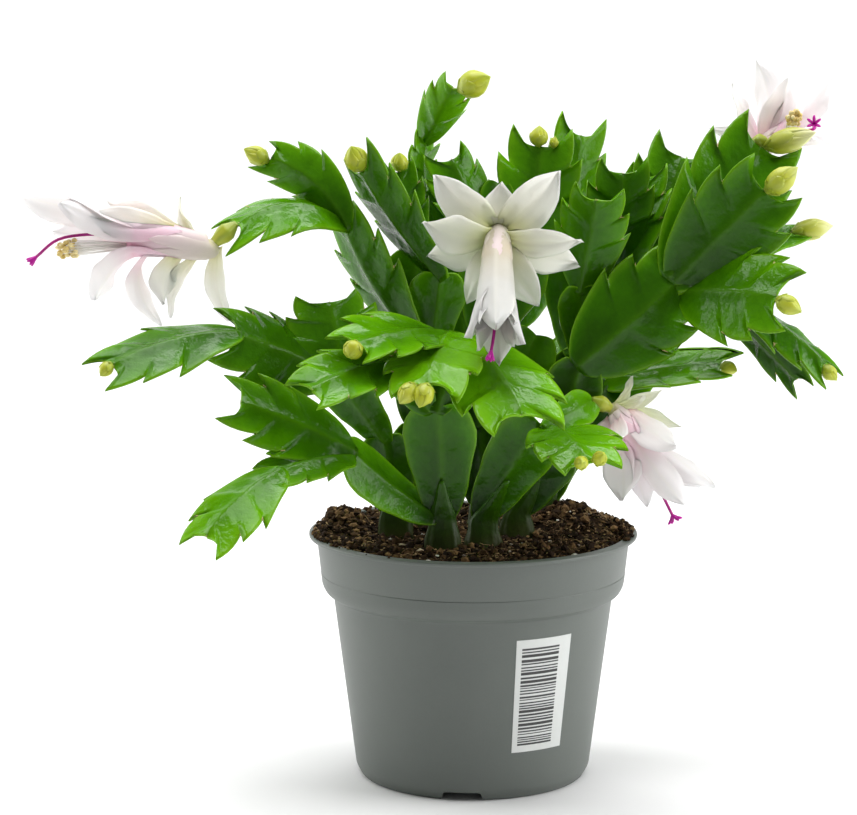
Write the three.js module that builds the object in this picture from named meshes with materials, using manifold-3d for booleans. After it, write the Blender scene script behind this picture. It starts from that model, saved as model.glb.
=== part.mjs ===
// Potted christmas cactus in a plastic grower's pot. Millimetres, +Z up.
// The origin is the middle of the pot's underside. The viewer looks along +Y.
import * as THREE from "three";
import { mergeVertices } from "three/addons/utils/BufferGeometryUtils.js";
import Module from "manifold-3d";

const wasm = await Module();
wasm.setup();

// Driving dimensions of the pot
const POT_HEIGHT = 90;
const LIP_RADIUS = 60;
const LIP_HEIGHT = 1.6;
const BAND_TOP_RADIUS = 57.2;
const BAND_FOOT_RADIUS = 55.3;
const BAND_FOOT_Z = 71;
const BODY_TOP_RADIUS = 51.2;
const BODY_TOP_Z = 67;
const BODY_FOOT_RADIUS = 43;
const BODY_FOOT_Z = 3.5;
const WALL = 1.3;
const FOOT_RADIUS = 41;
const FOOT_RING_WIDTH = 4.5;
const FLOOR_LIFT = 3.5;
const PAD_RADIUS = 10;
const POT_SIDES = 30;
const NOTCH = { count: 4, width: 15, height: 3.2, firstTurn: -6 };
const DRAIN = { count: 6, radius: 4, ringRadius: 27 };

// Driving dimensions of the soil
const GAP = 0.3;
const SOIL_LEVEL = 88;
const SOIL_HEAPS = [
  { x: 34, y: 16, height: 8, spread: 15 },
  { x: -50, y: 10, height: 7, spread: 11 },
  { x: -6, y: 30, height: 3, spread: 22 },
];
const SOIL_LUMP = 1.1;

// Driving dimensions of the stem segments
const RIB_HALF = 1.35;
const EDGE_HALF = 0.32;
const JOINT_SINK = 2.4;
const FOOT_HALF = { x: 6, y: 3.8 };
const FOOT_DEPTH = 17;

// Driving dimensions of the buds and blooms. SEAT is the clear step to them from the end of a segment, and
// MOUTH_GAP that from the end of a bloom's tube to what grows out of it.
const SEAT = 0.5;
const MOUTH_GAP = 0.5;
const PETAL_HALF = 0.34;
const PETAL_DISH = 0.1;
const STYLE_RADIUS = 0.6;
const STIGMA_RADIUS = 1.3;
const STIGMA_LOBES = { count: 4, length: 4 };
const FILAMENT_RADIUS = 0.45;
const ANTHER_RADIUS = 0.95;

// Colours
const POT_GREY = 0x7f8a86;
const SOIL_BROWN = 0x3a2618;
const GREEN = 0x3f8f1d;
const BUD_GREEN = 0xc3cf3f;
const WHITE = 0xf4eee9;
const MAGENTA = 0xc4149a;
const YELLOW = 0xe9d98a;

// Seeded random numbers, so that every build is alike
function seeded(seed) {
  let state = seed;
  return () => {
    state = (state * 1664525 + 1013904223) % 4294967296;
    return state / 4294967296;
  };
}

const vec = (list) => new THREE.Vector3(list[0], list[1], list[2]);

// Closed blade with two faces that are split alike: rows of left, middle and right points with their normals
function bladeGeometry(rows, apex) {
  const place = [];
  const faces = [];
  const put = (spot) => {
    const first = place.length / 3;
    place.push(...spot.at.clone().addScaledVector(spot.normal, spot.half).toArray());
    place.push(...spot.at.clone().addScaledVector(spot.normal, -spot.half).toArray());
    return first;
  };
  const quad = (a, b, c, d) => faces.push(a, b, c, a, c, d);
  const ids = rows.map((row) => row.map(put));
  const end = put(apex);
  const both = (a, b, c) => faces.push(a, b, c, a + 1, c + 1, b + 1);
  ids.forEach(([left, mid, right], i) => {
    const [nextLeft, nextMid, nextRight] = ids[i + 1] ?? [end, end, end];
    both(mid, right, nextRight);
    both(mid, nextLeft, left);
    if (nextMid !== end) {
      both(mid, nextRight, nextMid);
      both(mid, nextMid, nextLeft);
    }
    quad(right, right + 1, nextRight + 1, nextRight);
    quad(left + 1, left, nextLeft, nextLeft + 1);
  });
  const [left, mid, right] = ids[0];
  quad(left, left + 1, mid + 1, mid);
  quad(mid, mid + 1, right + 1, right);
  return { place, faces };
}

// Closed body through a run of rings with equal counts of points, capped flat at both ends
function loftGeometry(rings) {
  const sides = rings[0].length;
  const place = rings.flat().flatMap((point) => point.toArray());
  const faces = [];
  rings.slice(1).forEach((_, i) => {
    for (let k = 0; k < sides; k += 1) {
      const next = (k + 1) % sides;
      const low = i * sides;
      const high = low + sides;
      faces.push(low + k, low + next, high + next, low + k, high + next, high + k);
    }
  });
  const top = (rings.length - 1) * sides;
  for (let k = 1; k < sides - 1; k += 1) {
    faces.push(0, k + 1, k);
    faces.push(top, top + k, top + k + 1);
  }
  return { place, faces };
}

// Joined and cut with others later on
function solid({ place, faces }) {
  return new wasm.Manifold(new wasm.Mesh({
    numProp: 3,
    vertProperties: new Float32Array(place),
    triVerts: new Uint32Array(faces),
  }));
}

// Ring of points around a centre, in the plane across a direction
function ringAcross(centre, axis, sides, radius, squash = 1, hint = new THREE.Vector3(0, 1, 0.02)) {
  const across = new THREE.Vector3().crossVectors(hint, axis).normalize();
  const other = new THREE.Vector3().crossVectors(axis, across).normalize();
  return Array.from({ length: sides }, (_, k) => {
    const turn = (k / sides) * 2 * Math.PI;
    return centre.clone()
      .addScaledVector(across, Math.cos(turn) * radius)
      .addScaledVector(other, Math.sin(turn) * radius * squash);
  });
}

// Round rod along a curve whose radius follows a list of shares
function rod(points, radii, sides) {
  const curve = new THREE.CatmullRomCurve3(points);
  return solid(loftGeometry(radii.map((radius, i) => {
    const share = i / (radii.length - 1);
    return ringAcross(curve.getPoint(share), curve.getTangent(share), sides, radius);
  })));
}

const plant = new THREE.Group();

function addMesh(name, geometry, colour, roughness) {
  const look = { color: colour, roughness, metalness: 0, flatShading: true };
  const mesh = new THREE.Mesh(geometry, new THREE.MeshStandardMaterial(look));
  mesh.name = name;
  plant.add(mesh);
}

function geometryOf(body) {
  const mesh = body.getMesh();
  const geometry = new THREE.BufferGeometry();
  geometry.setAttribute("position", new THREE.BufferAttribute(mesh.vertProperties, 3));
  geometry.setIndex(new THREE.BufferAttribute(mesh.triVerts, 1));
  return geometry;
}

// Solid of a three.js shape: the lathe, box and cylinder below
function solidOf(geometry) {
  const bare = geometry.clone();
  bare.deleteAttribute("normal");
  bare.deleteAttribute("uv");
  const merged = mergeVertices(bare, 1e-3);
  const index = Array.from(merged.index.array);
  const faces = index.flatMap((_, i) => {
    const face = index.slice(i, i + 3);
    return i % 3 === 0 && new Set(face).size === 3 ? face : [];
  });
  return solid({ place: merged.attributes.position.array, faces });
}

function joinAll(bodies) {
  return bodies.reduce((sum, body) => sum.add(body));
}

// Pot: a lathed shell, with notches in the foot ring and drain holes in the raised floor
function potSolid() {
  const innerTop = BODY_TOP_RADIUS - WALL;
  const outline = [
    [0, 0], [PAD_RADIUS, 0], [PAD_RADIUS, FLOOR_LIFT],
    [FOOT_RADIUS - FOOT_RING_WIDTH, FLOOR_LIFT], [FOOT_RADIUS - FOOT_RING_WIDTH, 0],
    [FOOT_RADIUS, 0], [BODY_FOOT_RADIUS, BODY_FOOT_Z],
    [BODY_TOP_RADIUS, BODY_TOP_Z], [BAND_FOOT_RADIUS - 1.5, BODY_TOP_Z + 1.2],
    [BAND_FOOT_RADIUS, BAND_FOOT_Z],
    [BAND_TOP_RADIUS, POT_HEIGHT - LIP_HEIGHT], [LIP_RADIUS, POT_HEIGHT - LIP_HEIGHT * 0.8],
    [LIP_RADIUS, POT_HEIGHT], [BAND_TOP_RADIUS - WALL, POT_HEIGHT],
    [BAND_FOOT_RADIUS - WALL, BAND_FOOT_Z + 1], [innerTop, BODY_TOP_Z + 1.5],
    [BODY_FOOT_RADIUS - WALL, FLOOR_LIFT + WALL], [0, FLOOR_LIFT + WALL],
  ].map(([radius, z]) => new THREE.Vector2(radius, z));
  const lathe = new THREE.LatheGeometry(outline, POT_SIDES).rotateX(Math.PI / 2);
  let pot = solidOf(lathe);
  for (let i = 0; i < NOTCH.count; i += 1) {
    const turn = THREE.MathUtils.degToRad(NOTCH.firstTurn - 90 + (i * 360) / NOTCH.count);
    const reach = FOOT_RADIUS - FOOT_RING_WIDTH / 2;
    const notch = new THREE.BoxGeometry(FOOT_RING_WIDTH * 3, NOTCH.width, NOTCH.height * 2)
      .rotateZ(turn)
      .translate(Math.cos(turn) * reach, Math.sin(turn) * reach, 0);
    pot = pot.subtract(solidOf(notch));
  }
  for (let i = 0; i < DRAIN.count; i += 1) {
    const turn = ((i + 0.5) / DRAIN.count) * 2 * Math.PI;
    const hole = new THREE.CylinderGeometry(DRAIN.radius, DRAIN.radius, 3 * (FLOOR_LIFT + WALL), 8)
      .rotateX(Math.PI / 2)
      .translate(Math.cos(turn) * DRAIN.ringRadius, Math.sin(turn) * DRAIN.ringRadius, FLOOR_LIFT);
    pot = pot.subtract(solidOf(hole));
  }
  return pot;
}

// Soil: rings of points whose height follows the heaps and a seeded lump, closed by a wall inside the pot
function soilHeight(x, y) {
  return SOIL_HEAPS.reduce((z, heap) => {
    const away = ((x - heap.x) ** 2 + (y - heap.y) ** 2) / heap.spread ** 2;
    return z + heap.height * Math.exp(-away);
  }, SOIL_LEVEL);
}

function soilSolid() {
  const random = seeded(11);
  const sides = 24;
  const innerAt = (z) => {
    const band = (z - BAND_FOOT_Z - 1) / (POT_HEIGHT - BAND_FOOT_Z - 1);
    return BAND_FOOT_RADIUS - WALL + band * (BAND_TOP_RADIUS - BAND_FOOT_RADIUS) - GAP - 0.4;
  };
  const rimRadius = innerAt(SOIL_LEVEL - 1.5);
  const wall = [
    [BODY_FOOT_RADIUS - WALL - GAP - 0.4, FLOOR_LIFT + WALL + GAP],
    [BODY_TOP_RADIUS - WALL - GAP - 0.4, BODY_TOP_Z + 2.2],
    [BAND_FOOT_RADIUS - WALL - GAP - 0.6, BAND_FOOT_Z + 2.2],
  ];
  const ring = (radius, heightAt) => Array.from({ length: sides }, (_, k) => {
    const turn = (k / sides) * 2 * Math.PI;
    const x = Math.cos(turn) * radius;
    const y = Math.sin(turn) * radius;
    return new THREE.Vector3(x, y, heightAt(x, y));
  });
  const lumpy = (share) => (x, y) => {
    const dip = share === 1 ? 0.8 : 0;
    return soilHeight(x, y) + (random() - 0.5) * 2 * SOIL_LUMP - dip;
  };
  const shares = [1, 0.86, 0.66, 0.44, 0.2];
  const rings = [
    ...wall.map(([radius, z]) => ring(radius, () => z)),
    ...shares.map((share) => ring(rimRadius * share, lumpy(share))),
  ];
  return solid(loftGeometry(rings));
}

// Outline of one stem segment: place along it, share of the half width, and the place on the rib that the
// outline point is joined to. Points that jump forward and out are the claw-like teeth and the end horns.
const TOOTHED_OUTLINE = [
  { along: 0.0, out: 0.2, rib: 0.0 },
  { along: 0.3, out: 0.88, rib: 0.2 },
  { along: 0.59, out: 1.12, rib: 0.38, tooth: 1 },
  { along: 0.565, out: 0.95, rib: 0.44 },
  { along: 0.83, out: 1.0, rib: 0.6, tooth: 1 },
  { along: 0.795, out: 0.8, rib: 0.68 },
  { along: 1.06, out: 0.64, rib: 0.79, tooth: 1 },
  { along: 0.97, out: 0.4, rib: 0.88 },
];
// Older segments near the foot are thicker and nearly smooth at the edge
const SMOOTH_OUTLINE = [
  { along: 0.0, out: 0.26, rib: 0.0 },
  { along: 0.34, out: 0.74, rib: 0.24 },
  { along: 0.72, out: 1.0, rib: 0.62 },
  { along: 0.98, out: 0.55, rib: 0.86 },
];
const SEGMENT_END = 0.955;

// Outline of one petal, as for a segment, from its narrow base to its point
const PETAL_OUTLINE = [
  { along: 0.0, out: 0.3 },
  { along: 0.42, out: 0.95 },
  { along: 0.8, out: 0.78 },
];

// One flat stem segment. Its frame: `along` from base to tip, `side` across the blade, `normal` off its face.
function segmentFrame(base, tip, face, width, shape) {
  const run = tip.clone().sub(base);
  const length = run.length();
  const along = run.normalize();
  const normal = face.clone().addScaledVector(along, -face.dot(along)).normalize();
  const side = new THREE.Vector3().crossVectors(along, normal);
  const plain = { bow: 0, cup: 0, sweep: 0, teeth: 1, old: false };
  return { base, length, along, normal, side, halfWidth: width / 2, ...plain, ...shape };
}

// Point of the segment's middle sheet, at a share of its length and a distance to the side of its rib
function spotOn(frame, share, sideways, half) {
  const { side, normal } = frame;
  const arc = 4 * share * (1 - share);
  const at = frame.base.clone()
    .addScaledVector(frame.along, frame.length * share)
    .addScaledVector(side, sideways + frame.sweep * arc)
    .addScaledVector(normal, frame.bow * arc + frame.cup * (sideways / frame.halfWidth) ** 2);
  return { at, normal, half };
}

// Blade of one segment, its teeth varied a little
function segmentSolid(frame, random) {
  const outline = frame.old ? SMOOTH_OUTLINE : TOOTHED_OUTLINE;
  const rows = outline.map(({ along, out, rib, tooth = 0 }) => {
    const rim = (sign) => {
      const claw = tooth * ((frame.teeth - 1) * 0.1 + (random() - 0.4) * 0.08);
      const curl = tooth * (random() - 0.5) * 2.4;
      const spot = spotOn(frame, along + claw * 0.4, sign * frame.halfWidth * (out + claw), EDGE_HALF);
      spot.at.addScaledVector(spot.normal, curl);
      return spot;
    };
    return [rim(-1), spotOn(frame, rib, 0, RIB_HALF * (1.15 - 0.35 * rib)), rim(1)];
  });
  return solid(bladeGeometry(rows, spotOn(frame, SEGMENT_END, 0, EDGE_HALF * 2)));
}

// Leafy stems. Each has a woody foot in the soil and flat segments grown from it, one row each:
// name, what it grows from, shift along that one's end, tip, width, way its flat side faces, and its shape:
// bow along it, cup across it, sweep to one side, size of its teeth, smooth old edge.
const STEMS = {
  leafy_stem_front: {
    foot: [-11, -27], top: 101,
    segments: [
      ["fan", "foot", 0, [-13, -37, 143], 27, [0, -1, 0.15], { bow: -2, cup: -1, old: true }],
      ["neck", "fan", 0, [-6, -33, 166], 20, [0.2, -1, 0.5], { old: true }],
      ["shine", "neck", 3, [16, -74, 142], 37, [0.25, -0.6, 0.75], { bow: 4, cup: -2, teeth: 0.5 }],
      ["bright", "neck", -3, [-17, -74, 153], 32, [-0.1, -0.5, 0.85], { bow: 4, cup: -1, teeth: 0.6 }],
      ["ledge", "neck", -5, [-42, -64, 166], 28, [-0.1, -0.5, 0.85], { bow: 3, cup: 1, teeth: 0.8 }],
      ["elbow", "fan", -4, [-27, -48, 158], 16, [-0.2, -1, 0.4], { old: true }],
      ["low_ledge", "elbow", 0, [-57, -76, 152], 26, [-0.1, -0.6, 0.8], { bow: 3, cup: 1, teeth: 0.6 }],
      ["branch", "foot", -4, [-45, -38, 127], 24, [-0.35, -0.5, 0.8], { bow: -2, cup: -2, old: true }],
      ["claw", "branch", 0, [-83, -52, 146], 24, [0.25, -0.75, 0.6], { bow: 2, cup: -1, teeth: 1.3 }],
      ["drop", "branch", -4, [-69, -60, 121], 22, [-0.05, -0.45, 0.9], { bow: 2, cup: 1 }],
      ["hang", "drop", 0, [-92, -84, 103], 24, [-0.45, -0.75, 0.5], { bow: 3, cup: -2, teeth: 0.6 }],
    ],
  },
  leafy_stem_front_right: {
    foot: [3, -21], top: 100,
    segments: [
      ["lean", "foot", 0, [24, -31, 136], 25, [0.1, -1, 0.1], { bow: -2, cup: -1, old: true }],
      ["shelf", "lean", 5, [39, -61, 125], 30, [0.15, -0.6, 0.8], { bow: 3, teeth: 0.7 }],
      ["holder", "lean", 3, [43, -12, 140], 14, [0.3, -0.8, 0.5], { bow: 2, old: true }],
    ],
  },
  leafy_stem_left: {
    foot: [-28, -4], top: 97,
    segments: [
      ["low", "foot", 0, [-33, -9, 127], 22, [0, -1, 0], { old: true }],
      ["knee", "low", 0, [-51, -20, 152], 20, [-0.3, -0.9, 0], { old: true }],
      ["gloss", "knee", 3, [-52, -15, 177], 30, [0.1, -0.75, 0.65], { bow: 2, cup: -2 }],
      ["reach", "knee", -2, [-86, -36, 167], 28, [-0.15, -0.75, 0.6], { bow: 3, cup: -4, teeth: 1.2 }],
      ["far_end", "reach", 0, [-126, -60, 158], 25, [-0.1, -0.5, 0.85], { bow: 4, cup: -2, teeth: 0.8 }],
    ],
  },
  leafy_stem_mid_left: {
    foot: [-17, 9], top: 98,
    segments: [
      ["low", "foot", 0, [-20, 5, 130], 23, [0, -1, 0], { old: true }],
      ["tall", "low", 0, [-18, 1, 161], 25, [0, -1, 0], { old: true }],
      ["wall", "tall", -3, [-21, 6, 193], 25, [-0.1, -1, 0], { cup: -1, old: true }],
      ["front_wall", "tall", 3, [-12, -8, 186], 22, [0.1, -1, 0], { cup: -1, old: true }],
      ["arm", "tall", -2, [-47, 0, 204], 25, [-0.66, -0.66, -0.35], { bow: 3, cup: -2, teeth: 0.6 }],
      ["high", "arm", 0, [-75, 12, 226], 17, [-0.3, -0.9, 0.1], { bow: 2, cup: -2, sweep: 5, teeth: 1.2 }],
      ["perch", "arm", -3, [-86, -15, 202], 25, [0.05, -0.36, 0.93], { bow: 9, cup: -3 }],
      ["bud_arm", "front_wall", 0, [-41, -5, 224], 23, [-0.6, -0.6, -0.4], { bow: 2, cup: -2, teeth: 1.3 }],
      ["twig_right", "wall", 0, [-27, 12, 222], 14, [-0.1, -0.9, 0.1], {}],
    ],
  },
  leafy_stem_centre: {
    foot: [4, 9], top: 98,
    segments: [
      ["low", "foot", 0, [3, 9, 130], 23, [0, -1, 0], { old: true }],
      ["tall", "low", 0, [0, 12, 162], 25, [0, -1, 0], { old: true }],
      ["left_high", "tall", -3, [-8, 17, 191], 22, [0, -1, 0], { old: true }],
      ["joint", "left_high", -2, [-18, 22, 213], 13, [0.3, -0.9, 0], { old: true }],
      ["spire", "joint", 0, [-17, 22, 233], 17, [0.85, -0.5, 0], { bow: -2 }],
      ["spire_end", "spire", 0, [-7, 5, 252], 14, [0.1, -1, 0.1], { bow: 2, cup: -4 }],
      ["right_low", "low", 5, [24, 14, 162], 24, [0, -1, 0], { old: true }],
      ["mid_high", "tall", 3, [6, 12, 196], 22, [0, -1, 0], { old: true }],
      ["dark_left", "mid_high", -2, [-9, 15, 226], 22, [0.3, -0.7, 0.6], { bow: 2, cup: -2, teeth: 1.2 }],
      ["dark_right", "mid_high", 2, [9, 18, 217], 14, [0.2, -0.7, 0.6], { bow: 2, old: true }],
      ["bloom_holder", "mid_high", 0, [8, -20, 205], 16, [0, 0.3, 1], { bow: 3, old: true }],
      ["right_high", "tall", 6, [22, 16, 191], 22, [0, -1, 0], { old: true }],
      ["flat_top", "right_high", 0, [25, 21, 231], 27, [0, -1, 0.1], { cup: 1, teeth: 1.3 }],
    ],
  },
  leafy_stem_right: {
    foot: [16, -6], top: 99,
    segments: [
      ["low", "foot", 0, [31, -8, 126], 24, [0.1, -1, 0], { old: true }],
      ["dark", "low", 0, [39, -7, 154], 22, [0.1, -1, 0], { old: true }],
      ["big", "dark", 0, [75, 2, 183], 34, [0.25, -0.95, 0.2], { bow: 2, cup: -2, teeth: 0.7 }],
      ["upper", "big", -3, [107, 20, 231], 34, [0.1, -0.95, 0.15], { bow: 2, cup: 1, teeth: 1.1 }],
      ["middle", "big", 0, [105, -10, 217], 32, [0.1, -0.95, 0.2], { bow: 2, cup: 1, teeth: 1.1 }],
      ["lower", "big", 6, [108, -30, 179], 32, [0.1, -0.9, 0.4], { bow: 3, cup: -2, teeth: 0.9 }],
      ["slim", "big", 3, [119, 18, 198], 15, [0.3, -0.35, 0.9], { bow: 3, teeth: 0.4 }],
      ["drop", "big", 9, [94, 4, 172], 15, [0, -0.9, 0.4], { old: true }],
      ["drop_upper", "drop", -2, [127, -13, 151], 17, [0.3, -0.45, 0.85], { bow: 3, cup: -2 }],
      ["drop_lower", "drop", 3, [119, 3, 144], 15, [-0.5, -0.7, -0.4], { bow: -2 }],
      ["shade", "low", 3, [52, 15, 143], 22, [0, -0.55, 0.85], { bow: 1, old: true }],
      ["flag", "shade", 0, [92, 0, 151], 27, [0.1, -0.4, 0.92], { bow: 2, cup: 1, teeth: 0.8 }],
    ],
  },
  leafy_stem_back_right: {
    foot: [26, 16], top: 98,
    segments: [
      ["low", "foot", 0, [33, 25, 124], 22, [0, -1, 0], { old: true }],
      ["mid", "low", 0, [41, 20, 154], 22, [0, -1, 0], { old: true }],
      ["low_side", "low", 7, [64, 29, 156], 26, [0, -1, 0.2], { old: true }],
      ["forward", "mid", 0, [39, 4, 180], 18, [0, -1, 0.6], { old: true }],
      ["leaf", "forward", 0, [44, -8, 213], 23, [-0.1, -1, 0.1], { bow: -2, cup: -3, teeth: 0.9 }],
      ["back_tall", "mid", -3, [36, 35, 193], 22, [0, -1, 0], { old: true }],
      ["shine", "back_tall", 0, [41, 43, 234], 26, [0.6, -0.75, 0.3], { bow: -2, teeth: 1.3 }],
      ["side", "mid", 4, [58, 27, 184], 22, [0, -1, 0], { old: true }],
      ["side_left", "side", -5, [55, 22, 221], 23, [0.1, -0.9, 0.2], { bow: 2 }],
      ["side_mid", "side", 0, [65, 34, 219], 24, [-0.6, -0.7, 0.5], { bow: 2 }],
      ["side_right", "side", 7, [79, 44, 226], 28, [0, -0.95, 0.2], { bow: 2, teeth: 1.2 }],
    ],
  },
  leafy_stem_back: {
    foot: [8, 30], top: 99,
    segments: [
      ["low", "foot", 0, [12, 38, 130], 22, [0, 1, 0], { old: true }],
      ["mid", "low", 0, [10, 46, 162], 22, [0, 1, 0.1], { old: true }],
      ["high_left", "mid", 5, [-6, 58, 198], 25, [0.1, 1, 0.3], { bow: 2 }],
      ["high_right", "mid", -5, [26, 62, 196], 26, [-0.1, 1, 0.4], { bow: 2 }],
      ["out", "low", 0, [9, 74, 140], 26, [0, 0.5, 0.85], { bow: 4, cup: -2 }],
      ["out_end", "out", 0, [13, 104, 126], 25, [0, 0.75, 0.6], { bow: 4, cup: -2 }],
      ["wide", "low", -5, [42, 58, 152], 24, [-0.3, 0.7, 0.6], { bow: 3 }],
      ["wide_end", "wide", 0, [60, 88, 150], 26, [0, 0.6, 0.8], { bow: 3, cup: -1 }],
    ],
  },
  leafy_stem_back_left: {
    foot: [-12, 26], top: 99,
    segments: [
      ["low", "foot", 0, [-14, 34, 128], 20, [0, 1, 0], { old: true }],
      ["high", "low", 0, [-16, 42, 168], 20, [0, 1, 0.1], { old: true }],
      ["out", "low", 0, [-25, 66, 148], 24, [0, 0.6, 0.8], { bow: 3 }],
      ["out_end", "out", 0, [-30, 96, 146], 24, [0, 0.5, 0.85], { bow: 4, cup: -2 }],
    ],
  },
};

// Woody foot of a stem, widened a little for the hole that it stands in
function footSolid([x, y], top, grow = 0) {
  const up = new THREE.Vector3(0, 0, 1);
  const ring = (z, share) => {
    const half = FOOT_HALF.x * share + grow;
    return ringAcross(new THREE.Vector3(x, y, z), up, 6, half, (FOOT_HALF.y * share + grow) / half);
  };
  return solid(loftGeometry([
    ring(SOIL_LEVEL - FOOT_DEPTH - grow, 0.8), ring(top - 6, 1), ring(top + grow, 0.7),
  ]));
}

// Stem grown from its foot, with the end of each segment kept for what it carries
function growStem(name, { foot, top, segments }) {
  const random = seeded(name.length * 97 + segments.length);
  const footTop = new THREE.Vector3(foot[0], foot[1], top);
  const ends = { foot: { tip: footTop, side: new THREE.Vector3(1, 0, 0) } };
  let body = footSolid(foot, top);
  segments.forEach(([key, parent, shift, tip, width, face, shape]) => {
    const root = ends[parent];
    const base = root.tip.clone().addScaledVector(root.side, shift);
    const run = vec(tip).sub(base).normalize();
    base.addScaledVector(run, -JOINT_SINK);
    const frame = segmentFrame(base, vec(tip), vec(face), width, shape);
    body = body.add(segmentSolid(frame, random));
    ends[key] = { tip: spotOn(frame, SEGMENT_END, 0, 0).at, side: frame.side, along: frame.along };
  });
  return { body, ends };
}

// Closed buds: the stem and segment that carry each, shift along that segment's end, aim, length and width
const BUDS = [
  ["bud_left_high", "leafy_stem_mid_left", "high", -2, [-0.85, -0.3, 0.45], 9.5, 6.5],
  ["bud_inner_left", "leafy_stem_mid_left", "bud_arm", -0.5, [-0.3, -0.6, 0.85], 10.5, 8],
  ["bud_twig", "leafy_stem_mid_left", "twig_right", 0, [0, -0.4, 1], 6.5, 6],
  ["bud_top", "leafy_stem_centre", "spire_end", 2.8, [0.85, -0.5, 0.38], 13, 9.5],
  ["bud_beads", "leafy_stem_centre", "joint", 4, [0.75, -0.65, 0.1], 6, 3.4],
  ["bud_flat_top", "leafy_stem_centre", "flat_top", -1, [0.05, -0.2, 1], 7, 6.5],
  ["bud_flat_top_small", "leafy_stem_centre", "flat_top", 4.5, [0.2, -0.2, 1], 3.6, 3],
  ["bud_right_high", "leafy_stem_right", "upper", 1.5, [0.86, -0.5, 0.3], 20, 8.5],
  ["bud_right_middle", "leafy_stem_right", "middle", 1, [0.72, -0.2, 0.62], 13.5, 8.5],
  ["bud_right_slim", "leafy_stem_right", "slim", 0, [0.96, 0.22, 0.14], 15.5, 7.5],
  ["bud_right_lower", "leafy_stem_right", "lower", 1, [0.75, -0.38, -0.4], 9.5, 6.5],
  ["bud_right_drop", "leafy_stem_right", "drop_upper", 1, [0.6, -0.3, -0.6], 6.5, 5],
  ["bud_flag", "leafy_stem_right", "flag", 1, [0.75, -0.5, -0.2], 6, 5],
  ["bud_shelf_left", "leafy_stem_front_right", "shelf", 3, [0, -0.7, 0.2], 5.5, 4.5],
  ["bud_shelf_right", "leafy_stem_front_right", "shelf", -3, [0.3, -0.6, 0.5], 5.5, 4.8],
  ["bud_front_left", "leafy_stem_front", "bright", 4.6, [-0.55, -0.65, -0.6], 9, 6],
  ["bud_front_right", "leafy_stem_front", "bright", 0, [-0.3, -0.65, -0.75], 9, 6.5],
  ["bud_ledge", "leafy_stem_front", "ledge", 0, [-0.3, -0.8, -0.5], 6.5, 6.5],
  ["bud_far_left", "leafy_stem_left", "far_end", 1, [-0.5, -0.5, -0.6], 5.5, 4.5],
];

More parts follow.
